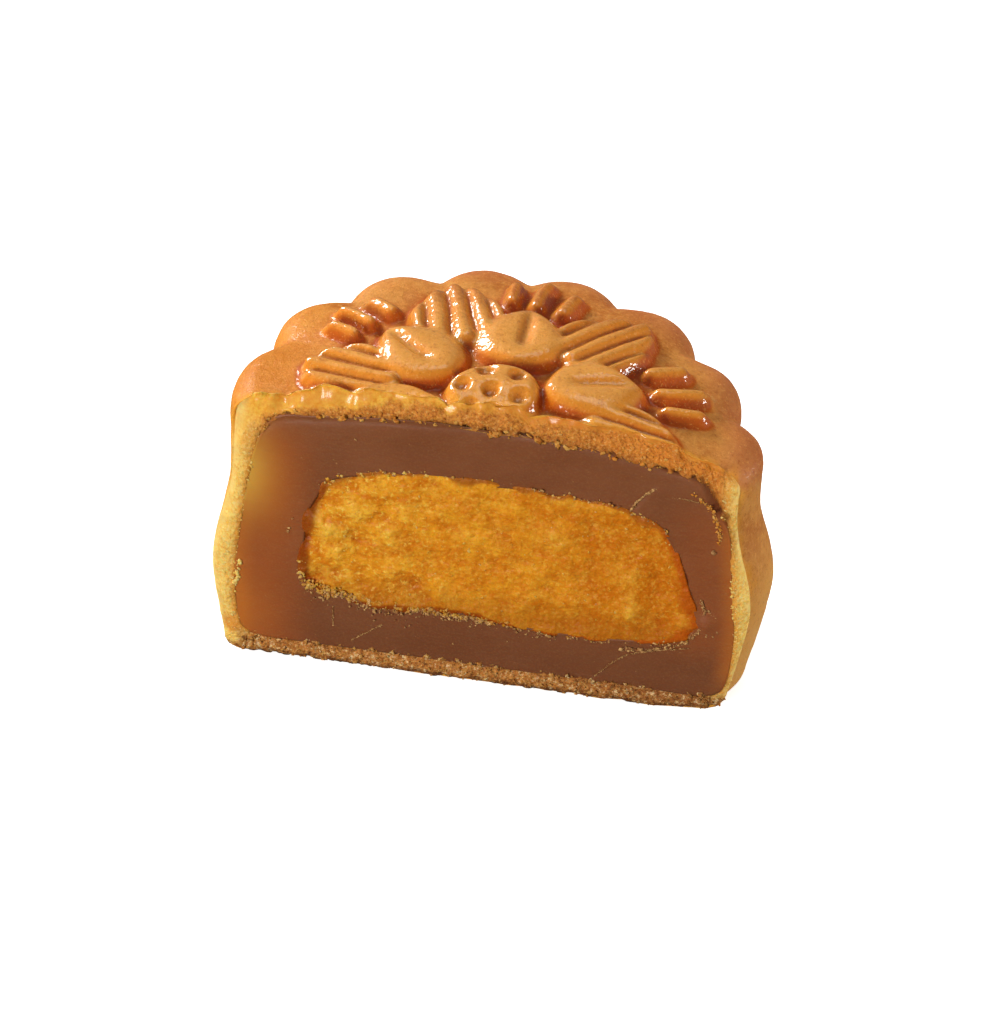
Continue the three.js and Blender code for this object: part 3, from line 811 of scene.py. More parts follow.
# %% [markdown]
# ## The paste
# Lotus paste is a smooth, dense and slightly see-through fudge. The knife leaves it almost flat,
# with faint waves, and a little lip where it passed on into the yolk. It has the pocket's form
# outside and the yolk's inside. It is made a hair larger than the pocket, so no light gap shows
# between the two, as in the real cake, where dough and paste bake together.

# %% Paste mesh
PASTE_COLUMNS, PASTE_FACE_ROWS, PASTE_SPARE = 36, 36, 0.06
FLOOR_ROWS, WALL_ROWS, CROWN_ROWS = 66, 108, 56
PASTE_WAVES, LIP_WAVES, OUTLINE_STEPS = 0.07, 0.12, 900
tilts = [math.pi * (row / OUTLINE_STEPS - 0.5) for row in range(OUTLINE_STEPS + 1)]

def curl(value):
    return math.copysign(abs(value) ** (2 / YOLK_SQUARENESS), value)

yolk_profile = even_path([
    (max(curl(math.cos(tilt)), 0) * YOLK_REACH, YOLK_HALF_HEIGHT * curl(math.sin(tilt)))
    for tilt in tilts
], FLOOR_ROWS + WALL_ROWS + CROWN_ROWS)

def yolk_pocket_point(turn, radius, rise):
    half = CUT * math.sin(turn)
    reach = half + math.sqrt(YOLK_REACH ** 2 - CUT ** 2 + half ** 2)
    point = plan_point(turn, radius / YOLK_REACH * reach, 0)
    return yolk_place(point.x, point.y, rise)

paste_mesh = bmesh.new()
paste_edge = spin_half(
    paste_mesh, paste_profile(FLOOR_ROWS, WALL_ROWS, CROWN_ROWS), PASTE_COLUMNS,
    lambda turn, radius, height: paste_point(turn, radius, height, PASTE_SPARE),
)
yolk_edge = spin_half(paste_mesh, yolk_profile, PASTE_COLUMNS, yolk_pocket_point)
face_of_paste = set(join_at_cut(paste_mesh, paste_edge, yolk_edge, PASTE_FACE_ROWS))
bmesh.ops.recalc_face_normals(paste_mesh, faces=paste_mesh.faces)
in_face = verts_of(face_of_paste)

def near_yolk(spot):
    across, up = (spot.x - YOLK_RIGHT) / YOLK_REACH, (spot.z - YOLK_MIDDLE) / YOLK_HALF_HEIGHT
    return across ** 4 + up ** 4 < 1.6

face_edge = [v for v in in_face if not face_of_paste.issuperset(v.link_faces)]
from_yolk = distances_to([v for v in face_edge if near_yolk(v.co)])
from_crust = distances_to([v for v in face_edge if not near_yolk(v.co)])
print("edge of the paste's face:", len(face_edge), "vertices")

def smeared_flap(spot):
    """Where the knife dragged a thin flap of paste to the right, over the yolk's right end."""
    from_crack = spot.x - 0.55 * (spot.z - 23)
    within = ease(13.8, 14.4, from_crack) * ease(21, 16, spot.x)
    return within * ease(21.8, 23, spot.z) * ease(26.8, 25.2, spot.z)

for vert in in_face:
    vert.co += dragged(vert.co) * fade(from_yolk(vert.co), 1.5)
    vert.co += edge_shift(vert.co) * fade(from_crust(vert.co), 2.6)
    spot = vert.co.copy()
    out = PASTE_WAVES * waves(Vector((spot.x * 0.4, 0, spot.z)), 4, 3)
    out += LIP_WAVES * fade(from_yolk(spot), 0.35) * waves(spot, 1.2) - 0.03
    sunk = 0.06 + 0.2 * ease(23, 26, spot.z)
    out -= sunk * fade(from_crust(spot), 0.4) * (1 - in_side_wall(spot * 1.02))
    out += 0.14 * smeared_flap(spot)
    out += 0.3 * hump(spot, 21.6, 10.9, 0.9)
    vert.co.y -= out

# %% [markdown]
# ## Finishes
# Every finish is built from nodes on Object coordinates, turned into millimetres by one Mapping
# node, so that a noise of scale 2 has features of half a millimetre. What follows the shape, such
# as the darker glaze and painted shade in the grooves, reads an attribute that was stored on the
# mesh. A colour is built up as a painter would, by laying tints over a ground: each tint is one row
# of a list, with the value that it follows, the levels between which it comes in, its greatest
# share if that is less than 1, and its colour.

# %% Node helpers
def shade(red, green, blue):
    """A colour as a screen shows it, 0 to 255, as the linear colour that a shader takes."""
    return tuple(
        (value / 255 / 12.92) if value <= 10 else ((value / 255 + 0.055) / 1.055) ** 2.4
        for value in (red, green, blue)
    ) + (1,)

class Finish:
    """A material on millimetre coordinates, with short ways to add nodes to it. Wherever a value
    is asked for, a socket is linked, a text names an attribute of the mesh, and a number is set."""

    def __init__(self, name, roughness, specular=0.5, soaks=(), **shader):
        """soaks is how light soaks in: its share, the reach of red, green and blue, the depth."""
        self.material = bpy.data.materials.new(name)
        self.material.use_nodes = True
        self.material.node_tree.nodes.clear()
        shader.update(zip(("Subsurface Weight", "Subsurface Radius", "Subsurface Scale"), soaks))
        basics = {"Roughness": roughness, "Specular IOR Level": specular, "IOR": 1.45}
        self.body = self.add("BsdfPrincipled", {**basics, **shader})
        self.add("OutputMaterial", {"Surface": self.body.outputs[0]})
        place = self.add("TexCoord").outputs["Object"]
        self.spot = self.add("Mapping", {"Vector": place, "Scale": (1 / MM,) * 3}).outputs[0]
        self.x, self.y, self.z = self.add("SeparateXYZ", {"Vector": self.spot}).outputs

    def put(self, value, socket):
        if isinstance(value, str):
            value = self.add("Attribute", attribute_name=value).outputs["Fac"]
        if isinstance(value, bpy.types.NodeSocket):
            self.material.node_tree.links.new(value, socket)
        else:
            socket.default_value = value

    def add(self, kind, sockets=None, **settings):
        node = self.material.node_tree.nodes.new("ShaderNode" + kind)
        for name, value in settings.items():
            setattr(node, name, value)
        for name, value in (sockets or {}).items():
            self.put(value, node.inputs[name])
        return node

    def noise(self, scale, detail=3, roughness=0.55, stretch=None):
        spot = self.spot
        if stretch:
            spot = self.add("Mapping", {"Vector": spot, "Scale": stretch}).outputs[0]
        sockets = {"Vector": spot, "Scale": scale, "Detail": detail, "Roughness": roughness}
        return self.add("TexNoise", sockets).outputs["Fac"]

    def cells(self, scale):
        return self.add("TexVoronoi", {"Vector": self.spot, "Scale": scale}).outputs["Distance"]

    def stretched(self, value, low, high, after=1.0, before=0.0):
        """Before up to the level low, after from the level high on, a smooth step between."""
        levels = {"From Min": low, "From Max": high, "To Min": before, "To Max": after}
        node = self.add("MapRange", {"Value": value, **levels}, interpolation_type="SMOOTHSTEP")
        return node.outputs[0]

    def maths(self, operation, a, b):
        """The result stays between 0 and 1, as a share does."""
        return self.add("Math", {0: a, 1: b}, operation=operation, use_clamp=True).outputs[0]

    def product(self, a, b):
        return self.maths("MULTIPLY", a, b)

    def blend(self, a, b, share=0.5):
        return self.maths("ADD", self.product(a, share), self.product(b, 1 - share))

    def tinted(self, ground, *tints):
        """The ground's colour with tints laid over it, each (value, levels..., colour)."""
        colour = shade(*ground) if isinstance(ground, tuple) else ground
        for value, *levels, tint in tints:
            share = self.stretched(value, *levels) if levels else value
            tint = shade(*tint) if isinstance(tint, tuple) else tint
            colour = self.add("Mix", {0: share, 6: colour, 7: tint}, data_type="RGBA").outputs[2]
        return colour

    def gets(self, name, value):
        """Links or sets a socket of the shader."""
        self.put(value, self.body.inputs[name])

    def bump(self, height, distance, strength, normal="Normal"):
        sockets = {"Height": height, "Distance": distance * MM, "Strength": strength}
        self.gets(normal, self.add("Bump", sockets).outputs[0])

# %% [markdown]
# ### Glazed crust
# The skin is golden dough under a thin film of baked egg yolk. It browns most on what stands up
# towards the rim, stays yellow where the cut bared fresh dough beside it, and the wash that ran
# into the grooves baked to a deep orange. The grooves and the feet of the raised shapes are also
# painted darker as shade, most on the sides turned away from the window light, and the left end
# is painted a deeper orange, a painted glow of light coming through the thin edge. The film itself
# is a clear coat: sharp highlights over soft dough. Low down, the side wasn't brushed and stays
# tan.

# %% Glazed crust
glazed = Finish(
    "glazed_crust", 0.45, 0.12, (0.15, (1.0, 0.4, 0.12), 0.7 * MM),
    **{"Coat Roughness": 0.08, "Coat IOR": 1.5},
)
mottle, fine_mottle = glazed.noise(0.22, 5, 0.65), glazed.noise(1.6, 5, 0.7)
speckle = glazed.noise(3, 3, 0.7)
raised = glazed.tinted(
    (199, 116, 41),
    (mottle, 0.36, 0.6, (171, 87, 20)),
    (glazed.y, 9, -3, 0.8, (228, 158, 68)),
)
rim_red = glazed.stretched("rim", 0.2, 1.0, 0.65)
glazed.gets("Base Color", glazed.tinted(
    (213, 142, 66),
    (mottle, 0.38, 0.62, (188, 111, 46)),
    ("relief", 0.05, 0.9, raised),
    (fine_mottle, 0.46, 0.68, 0.55, (228, 158, 78)),
    (fine_mottle, 0.46, 0.3, 0.45, (168, 84, 26)),
    # Painted glow: the left end deeper orange, as light coming through the thin edge.
    (glazed.x, -14, -22, 0.55, (208, 124, 20)),
    (glazed.z, 24, 6, (232, 166, 84)),
    (rim_red, (192, 110, 66)),
    (glazed.product(rim_red, glazed.stretched(glazed.x, 11, 21, 0.12)), (160, 74, 38)),
    ("slope", 0.02, 0.2, 0.75, (219, 132, 20)),
    # Painted shade with pooled glaze: feet of slopes turned from the window light, and the grooves.
    ("foot", 0.0, 0.7, 0.95, (184, 82, 0)),
    ("groove", 0.04, 0.34, 0.95, (168, 66, 0)),
    ("fresh", 0.1, 0.9, 0.8, (234, 158, 48)),
    ("pale", 0.1, 0.8, 0.95, (250, 208, 110)),
    (speckle, 0.56, 0.7, 0.4, (242, 176, 92)),
    (speckle, 0.44, 0.3, 0.45, (158, 76, 24)),
))
brushed = glazed.stretched(glazed.z, 20, 28)
film = glazed.stretched("glazed", 0.05, 0.7, 0.95, 0.05)
glazed.gets("Coat Weight", glazed.product(film, brushed))
glazed.bump(glazed.blend(glazed.noise(5), glazed.noise(1.3), 0.6), 0.14, 0.8)
glazed.bump(glazed.noise(1.9, 1, 0.5), 0.12, 0.8, "Coat Normal")

# %% [markdown]
# ### Cut crumb
# Inside, the crust is unglazed. Over and under the paste the crumb is dry and darkest next to the
# paste. Its grains are painted lighter on top and brown in the gaps, a painted highlight and
# painted shade, and its pits and the torn crack at the upper right are painted dark as shade.
# Along the top the golden skin is drawn down over it as a smooth lip with a little of the glaze;
# the thin sides are yellow, close and a little see-through.

# %% Cut crumb
crumbly = Finish(
    "cut_crumb", 0.65, 0.3, (0.25, (1.0, 0.5, 0.2), 0.8 * MM),
    **{"Coat Roughness": 0.16, "Coat IOR": 1.5},
)
crumb_tone, fine_tone = crumbly.noise(2.6, 5, 0.7), crumbly.noise(3.6, 3, 0.75)
coarse_tone, lobe_tone = crumbly.noise(1.9, 3, 0.75), crumbly.noise(0.42, 2)
upper = crumbly.stretched(crumbly.z, 8, 14)
upper_right = crumbly.product(crumbly.stretched(crumbly.x, 4, 16, 0.6), upper)
in_base = crumbly.stretched(crumbly.z, 6, 2.4)
half_in_base = crumbly.product(in_base, 0.5)
base_right = crumbly.product(half_in_base, crumbly.stretched(crumbly.x, 4, 18))
base_light = crumbly.product(in_base, crumbly.stretched(coarse_tone, 0.52, 0.66, 0.85))
base_dark = crumbly.product(in_base, crumbly.stretched(coarse_tone, 0.46, 0.33, 0.65))
lip_gold = crumbly.tinted(
    (240, 156, 36),
    (crumb_tone, 0.3, 0.7, (254, 200, 76)),
    (crumbly.x, -6, 4, 0.8, (214, 124, 34)),
    (lobe_tone, 0.44, 0.62, 0.45, (218, 130, 26)),
)
baked_crumb = crumbly.tinted(
    (200, 116, 34),
    (crumb_tone, 0.38, 0.62, (228, 148, 54)),
    (upper_right, (236, 138, 36)),
    # On the cut, crumb_top is the grains' height: tops painted lighter as highlight, gaps painted
    # darker as shade. Loose crumbs get a random tone.
    ("crumb_top", 0.0, 0.5, 0.5, (248, 188, 98)),
    ("crumb_top", -0.1, -0.5, 0.4, (146, 74, 16)),
    (half_in_base, (172, 110, 54)),
    (base_right, (132, 72, 28)),
    (fine_tone, 0.54, 0.68, 0.5, (252, 202, 118)),
    (fine_tone, 0.46, 0.34, 0.65, (132, 66, 14)),
    (base_light, (246, 204, 144)),
    (base_dark, (88, 44, 14)),
    ("near_paste", 0.1, 0.8, 0.5, (156, 90, 34)),
    # Painted shade: the pits dark.
    ("pit", 0.1, 0.9, 0.85, (66, 30, 8)),
    ("near_skin", 0.1, 0.7, 0.95, lip_gold),
)
soft_dough = crumbly.tinted(
    (255, 194, 84),
    (crumb_tone, 0.4, 0.64, (255, 218, 118)),
    (fine_tone, 0.54, 0.68, 0.5, (255, 236, 166)),
    (fine_tone, 0.46, 0.34, 0.5, (216, 138, 44)),
    ("near_paste", 0.15, 0.9, 0.75, (226, 136, 38)),
    ("near_skin", 0.2, 1.0, 0.6, (254, 218, 130)),
)
crumbly.gets("Base Color", crumbly.tinted(
    baked_crumb,
    ("doughy", soft_dough),
    # Dark along the bottom edge; in the torn crack a painted shade.
    ("dark_bottom_and_crack_shade", (92, 46, 14)),
))
on_top = crumbly.stretched(crumbly.z, 24, 27)
lip_film = crumbly.stretched("near_skin", 0.5, 1.0, 0.4)
crumbly.gets("Coat Weight", crumbly.product(lip_film, on_top))
crumb_grain = crumbly.blend(crumbly.cells(3), crumbly.noise(4, 3, 0.7))
rough_share = crumbly.stretched("near_skin", 0.1, 0.7, 0.15, 1.0)
crumbly.bump(crumbly.product(crumb_grain, rough_share), 0.26, 0.9)

# %% [markdown]
# ### Lotus paste
# Cooked seed paste with sugar and oil: a smooth brown fudge that lets some light in. Light from
# the left soaking through its edge is painted into its colour: it is painted glowing orange and
# even olive-yellow near the thin crust, and orange beside the crust's right wall. It is darkest
# low down in the middle. Faint pale specks lie in it, and the knife left hair-fine drag lines.

# %% Lotus paste
smooth_paste = Finish("lotus_paste", 0.42, 0.35, (0.3, (1.0, 0.38, 0.12), 1.2 * MM))
smooth_paste.gets("Base Color", smooth_paste.tinted(
    (128, 72, 38),
    (smooth_paste.noise(0.12, 3, 0.5), 0.3, 0.7, (138, 81, 46)),
    (smooth_paste.z, 16, 2, 0.6, (112, 62, 32)),
    # Painted glow: light soaking through the edge at the left and beside the right wall.
    ("warm", (160, 82, 34)),
    ("glow", (190, 106, 34)),
    ("olive", (220, 164, 62)),
    (smooth_paste.noise(5, 3, 0.7), 0.45, 0.7, 0.14, (186, 128, 82)),
    (smooth_paste.noise(3.6, 2, 0.5), 0.72, 0.8, 0.5, (190, 134, 84)),
))
smooth_paste.bump(smooth_paste.noise(3, 4, 0.65, stretch=(0.2, 1, 1.2)), 0.06, 0.6)

# %% [markdown]
# ### Salted yolk
# Packed golden grains with oil between them. Where the grains stand up they are painted yellow,
# a painted highlight of the light they catch, and the hollows between them are painted darker as
# shade. Lumps and glints towards the left, where the light comes from, are painted lighter, and the
# bottom is painted darker as shade. The oily rim beside the paste is clearer and a deep orange.

# %% Salted yolk
grainy = Finish("salted_yolk", 0.42, 0.2, (0.25, (1.0, 0.45, 0.08), 0.8 * MM))
to_left = grainy.stretched(grainy.x, 2, -12, 0.8, 0.3)
clouds, fine_grain = grainy.noise(0.5, 4, 0.6, (0.7, 1, 1)), grainy.noise(3, 4, 0.7, (0.8, 1, 1))
# Painted highlights: lit lumps and glints, more towards the left, where the light comes from.
lit_lumps = grainy.stretched(grainy.noise(0.75, 3, 0.6), 0.5, 0.64, 0.6)
sparkle = grainy.stretched(grainy.noise(2.2, 3, 0.65), 0.54, 0.68)
oily_orange = grainy.tinted(
    (140, 54, 0),
    (grainy.x, -8, 12, (188, 84, 4)),
    (grainy.z, 20, 22.5, 0.8, (172, 98, 24)),
)
grainy.gets("Base Color", grainy.tinted(
    (216, 124, 12),
    (clouds, 0.38, 0.62, (236, 156, 30)),
    (grainy.x, -2, 17, 0.7, (202, 106, 0)),
    # Painted highlight on standing grains, painted shade in the hollows.
    ("grain_top", 0.05, 0.45, 0.75, (252, 196, 64)),
    ("grain_top", -0.06, -0.35, 0.6, (186, 88, 2)),
    (fine_grain, 0.54, 0.7, 0.4, (252, 200, 80)),
    # Painted highlights of lit lumps and glints, towards the left.
    (grainy.product(lit_lumps, to_left), (252, 190, 62)),
    (grainy.product(sparkle, to_left), (252, 204, 84)),
    (fine_grain, 0.45, 0.34, 0.45, (196, 100, 2)),
    ("pale", (250, 210, 130)),
    # Painted shade: darker low down on the yolk.
    (grainy.z, 12, 8, 0.5, (164, 88, 12)),
    ("oily", 0.15, 0.85, 0.9, oily_orange),
))
grainy.bump(grainy.blend(grainy.cells(2.4), grainy.noise(3.5, 3, 0.6)), 0.15, 0.9)

# %% [markdown]
# ### Dry paste
# Where the knife scraped the paste, the scrapings dried pale.

# %% Dry paste
flaky = Finish("dry_paste", 0.6, 0.3)
dry = flaky.tinted((154, 98, 46), (flaky.noise(3), 0.35, 0.6, (234, 184, 114)))
flaky.gets("Base Color", flaky.tinted((130, 76, 42), ("dry", dry)))

# %% [markdown]
# ## The three pieces
# A finish has to know where on its piece it is: how near the skin, the paste or the knife. Such
# places could be painted by hand as weights. Here they are worked out for each vertex, because
# they follow the form, and stored as attributes when the piece is made.

# %% What the finishes of the crust read
def keep(values, index, **found):
    """Keeps what was found for a vertex."""
    for title, value in found.items():
        values[title][index] = value

def crust_cut_values(index, spot):
    """What the finish of the crust's cut reads at a vertex."""
    under = 0.85 * ease(0.9, 0.1, spot.z + 0.5 * waves(spot, 1.5)) * ease(-23.4, -22, spot.x)
    doughy = max(in_side_wall(spot), ease(-21.8, -23, spot.x) * ease(0.4, 1.4, spot.z))
    right_corner = 0.85 * hump(spot, 21.8, 24, 1.1, 2.8)
    left_corner = 0.55 * hump(spot, -22.2, 26.2, 1.4, 2.2)
    return {
        "doughy": doughy * (1 - right_corner - left_corner),
        "near_skin": smooth_lip[index] * ease(1, 6, spot.z),
        "near_paste": near_paste[index] * ease(0.6, 3, spot.z) + hump(spot, -23.2, 3.2, 0.9),
        "pit": pit[index] * ease(20, 24, spot.z),
        # Dark along the bottom edge, and painted shade in the torn crack at the upper right.
        "dark_bottom_and_crack_shade": max(under, 0.95 * crack[index]),
    }

def crust_skin_values(spot):
    """What the finish of the glazed skin reads: the red rim, and fresh dough beside the cut."""
    behind, out = spot.y + CUT, math.hypot(spot.x, spot.y)
    to_right = ease(-16, 10, spot.x + 0.6 * spot.y)
    return {
        "rim": ease(18, 25, out) * ease(22, 29, spot.z) * to_right,
        "fresh": bell(behind, 1.5 + waves(spot, 2)),
        "pale": fade(behind, 0.8) * ease(29.5, 25, spot.z) * ease(0.5, 3, spot.z),
    }

TITLES = "rim", "fresh", "pale", "doughy", "near_skin", "near_paste", "dark_bottom_and_crack_shade", "pit"
crust_values = {title: blank(crust_mesh) for title in TITLES}
crust_values.update(
    groove=np.clip(groove, 0, None), relief=relief, slope=slope, foot=foot, crumb_top=crumb,
    glazed=np.clip(blurred(crust_mesh, relief, GLAZE_BLUR), 0, 1),
)
for index, vert in enumerate(crust_mesh.verts):
    if vert in in_band:
        keep(crust_values, index, **crust_cut_values(index, vert.co))
    if vert not in in_pocket:
        keep(crust_values, index, **crust_skin_values(vert.co))
print("values for the crust:", ", ".join(crust_values))

# %% Make the crust
band_spots = [v.co.copy() for v in in_band if from_skin(v.co) > 0.75 or v.co.z < 4]
band_spots.sort(key=tuple)
bare_spots = [
    p for p in band_spots
    if p.z < 4 or from_pocket(p) < 1.0 or from_skin(p) > 1.2 + lip_width(p)
]
bare_spots = [p for p in bare_spots if p.x > -22.3 or p.z > 4]
rim_spots = sorted((v.co.copy() for v in in_band & in_pocket), key=tuple)
crust = make_piece("crust_baked", crust_mesh, [glazed, crumbly], crust_values)
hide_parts("crust")

# %% Make the paste
paste_values = {title: blank(paste_mesh) for title in ("glow", "warm", "olive")}
for index, vert in enumerate(paste_mesh.verts):
    spot = vert.co
    # Where the paste is painted glowing, as if lit through the thin crust: at the left edge, beside
    # the right wall, and olive-yellow at the upper left.
    to_wall = PASTE_RIGHT + np.interp(spot.z, wall_heights, wall_radii) - spot.x
    right_wall = ease(2.2, 0, to_wall) * ease(2, 6, spot.z) * ease(25, 20, spot.z)
    left_edge = ease(-20.6, -23.4, spot.x)
    left_edge += 0.8 * hump(spot, -20.4, 21, 2.6, 5.5)
    left_edge += 0.7 * hump(spot, -22, 5, 2.6, 4.5)
    warm_left = 0.85 * ease(-14, -20, spot.x) * ease(30, 24, spot.z)
    warm_right = 0.45 * ease(16, 21, spot.x) * ease(5, 9, spot.z) * ease(27, 22, spot.z)
    keep(
        paste_values, index, warm=warm_left + warm_right,
        glow=clamp01(0.85 * left_edge + 0.75 * right_wall),
        olive=0.95 * hump(spot, -22.4, 21.8, 2.2, 4.4),
    )
paste_piece = make_piece(
    "lotus_paste_cut", paste_mesh, [smooth_paste], paste_values,
)
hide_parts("lotus_paste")

# %% Make the yolk
yolk_spots = [v.co.copy() for v in face_verts]
yolk_rim_spots = [v.co.copy() for v in rim_start]
yolk_values = {"grain_top": grain_top, "oily": oily}
yolk_piece = make_piece("egg_yolk_cut", yolk_mesh, [grainy], yolk_values)
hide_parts("egg_yolk")

# %% [markdown]
# ## Loose crumbs, grains and scrapings
# The knife left little lumps on the cut: crumbs torn from the baked dough, pale grains along the
# yolk's edge, and lines of dry scrapings on the paste. A particle system could scatter them, but
# it wouldn't survive the export, so they are joined meshes, made from a dozen dented balls that
# are copied, stretched and turned at random. Most are small and a few large. Some lie on chance
# vertices of the face under them, the rest follow short lines.

# %% Lumps
draw = random.Random(11)
LUMP_LIFT = 0.02                 # how far a lump lies in front of the cut
BALL_KINDS, DENT_DEPTH, DENTS_ACROSS = 12, 0.9, 1.3

def dented_ball():
    ball = bmesh.new()
    bmesh.ops.create_icosphere(ball, subdivisions=2, radius=1)
    dents = Vector((draw.uniform(0, 50), 0, 0))
    for vert in ball.verts:
        vert.co *= 1 + DENT_DEPTH * noise.noise(DENTS_ACROSS * vert.co + dents)
    return to_data("lump", ball)

BALLS = [dented_ball() for _ in range(BALL_KINDS)]
LUMP_VERTS = len(BALLS[0].vertices)

def add_lump(mesh, place, low, high, flat=0.6):
    """A lump between two sizes, more often small than large, and flatter towards the knife."""
    size = low + (high - low) * draw.random() ** 2.5
    wide, thick = size * draw.uniform(0.35, 0.75), size * flat / 2
    stretch = Matrix.Diagonal((wide, thick, size * draw.uniform(0.3, 0.55), 1))
    turn = Matrix.Rotation(draw.uniform(0, math.tau), 4, "Y")
    lump = draw.choice(BALLS).copy()
    lump.transform(Matrix.Translation(place) @ turn @ stretch)
    mesh.from_mesh(lump)
    bpy.data.meshes.remove(lump)

def scatter(mesh, spots, count, low, high, flat=0.6, stray=lambda spot: Vector()):
    """Lumps on chance spots, each of which may stray a little."""
    for spot in draw.choices(spots, k=count):
        add_lump(mesh, spot + stray(spot), low, high, flat)

def around(spread, lift):
    return lambda spot: Vector((draw.gauss(0, spread), -lift, draw.gauss(0, spread)))

def towards(middle, low, high):
    return lambda spot: (middle - spot).normalized() * draw.uniform(low, high)

def lumps_along(mesh, path, spacing, spread, low, high, steps=0):
    """A ragged line of lumps on the cut, through (x, z) points, curved if it has steps."""
    path = smooth_path(path, steps) if steps else path
    length = sum(math.dist(a, b) for a, b in pairwise(path))
    for x, z in even_path(path, max(round(length / spacing), 1)):
        place = Vector((x + draw.gauss(0, spread), -CUT - LUMP_LIFT, z + draw.gauss(0, spread)))
        add_lump(mesh, place, low, high)

def value_per_lump(mesh, low, high):
    values = [draw.uniform(low, high) for _ in range(len(mesh.verts) // LUMP_VERTS)]
    return np.repeat(values, LUMP_VERTS)

# %% Crumbs of the crust
CORNER_EDGE = [(19.4, 25.9), (20.8, 24.8), (21.7, 23.4), (22.1, 21.8), (22.2, 20.6)]
LEFT_EDGE = [(-22.4, 11), (-22.7, 9.7), (-22.7, 8.8), (-22.9, 7.9)]
crumb_mesh = bmesh.new()
scatter(crumb_mesh, [p for p in bare_spots if in_side_wall(p) < 0.2], 800, 0.1, 0.4)
scatter(crumb_mesh, [p for p in rim_spots if in_side_wall(p) < 0.4], 260, 0.14, 0.6,
        stray=towards(PASTE_MIDDLE, -0.2, 0.25))
lumps_along(crumb_mesh, CORNER_EDGE, 0.1, 0.12, 0.12, 0.42, steps=30)
baked_verts = len(crumb_mesh.verts)
scatter(crumb_mesh, [p for p in band_spots if in_side_wall(p) > 0.5], 170, 0.1, 0.26, 0.4)
scatter(crumb_mesh, [p for p in rim_spots if in_side_wall(p) > 0.4], 36, 0.1, 0.34)
lumps_along(crumb_mesh, LEFT_EDGE, 0.18, 0.13, 0.15, 0.6)
doughy = (np.arange(len(crumb_mesh.verts)) >= baked_verts).astype(float)
crumb_values = {
    "doughy": doughy,
    "near_skin": doughy * value_per_lump(crumb_mesh, 0.2, 1),
    "crumb_top": value_per_lump(crumb_mesh, -0.3, 0.6),
}
make_piece("pastry_crumbs", crumb_mesh, [crumbly], crumb_values)

# %% Grains of the yolk
YOLK_CENTRE = Vector((YOLK_RIGHT, -CUT, YOLK_MIDDLE))
LOW_EDGE = [(-16, 9.6), (-12, 8.5), (-8, 8.1), (-3, 7.9), (3, 7.7)]
busy_rim = [p for p in yolk_rim_spots if abs(p.x - YOLK_RIGHT) < 16.4 or p.z < 10]
low_left = [p for p in yolk_rim_spots if p.x < 0 and p.z < 12]
top_left = [p for p in yolk_rim_spots if p.x < -4 and p.z > 19]
corner = [p for p in yolk_rim_spots if p.x < -12 and p.z < 11]
grain_mesh = bmesh.new()
for spot in draw.sample(yolk_spots, 160):
    add_lump(grain_mesh, spot, 0.08, 0.26, 0.5)
scatter(grain_mesh, busy_rim, 130, 0.08, 0.3, stray=around(0.15, 0))
for spots, count, largest in ((low_left, 80, 0.45), (corner, 50, 0.65), (top_left, 50, 0.45)):
    scatter(grain_mesh, spots, count, 0.1, largest, stray=towards(YOLK_CENTRE, -0.05, 0.6))
lumps_along(grain_mesh, LOW_EDGE, 0.07, 0.16, 0.08, 0.4)
grain_values = {
    "grain_top": value_per_lump(grain_mesh, -0.1, 0.4),
    "pale": value_per_lump(grain_mesh, 0, 0.6),
}
make_piece("yolk_grains", grain_mesh, [grainy], grain_values)

# %% Scrapings on the paste
FLAKY_EDGE = [
    (20.9, 13.6), (21.3, 12.3), (21.2, 11), (20.7, 9.6), (19.8, 8.5), (18.5, 7.6), (17, 7.1),
    (15.5, 6.7), (13.8, 6.5),
]
RIGHT_FLAKES = [(21.6, 12.6), (22.3, 11.6), (22.4, 10.4), (21.6, 9.4)]
FRINGE = [(-14.5, 8.9), (-12, 8.3), (-8, 7.9), (-3, 7.7), (1.5, 7.6)]
HAIR = (0.05, 0.04, 0.07, 0.13)  # spacing, spread and sizes of a fine line, as lumps_along has them
FINE_LINES = (
    ([(-11.5, 3.3), (-8.8, 5.5)], HAIR, 0),
    ([(11.5, 2.9), (14.2, 5.8), (17, 6.9), (20.1, 7.7)], HAIR, 30),
    ([(13.7, 22.8), (14.2, 24), (15.1, 25.2), (15.9, 25.9)], (0.045, 0.05, 0.1, 0.3), 30),
    ([(16, 24.6), (17.9, 25.2), (20, 25)], HAIR, 20),
    ([(-13.5, 7), (-13.4, 4.7)], HAIR, 0),
)
LONE_LUMPS = (                   # place on the cut and size
    (-17.6, 16.8, 0.3), (-18, 15.2, 0.3), (-17.9, 15.6, 0.2), (21.7, 19.4, 0.45),
    (-12, 27, 0.24), (-2, 4.4, 0.16),
)

def flaked_down(spot):
    return Vector((0, -LUMP_LIFT, -draw.expovariate(3) * ease(16, 2, spot.x)))

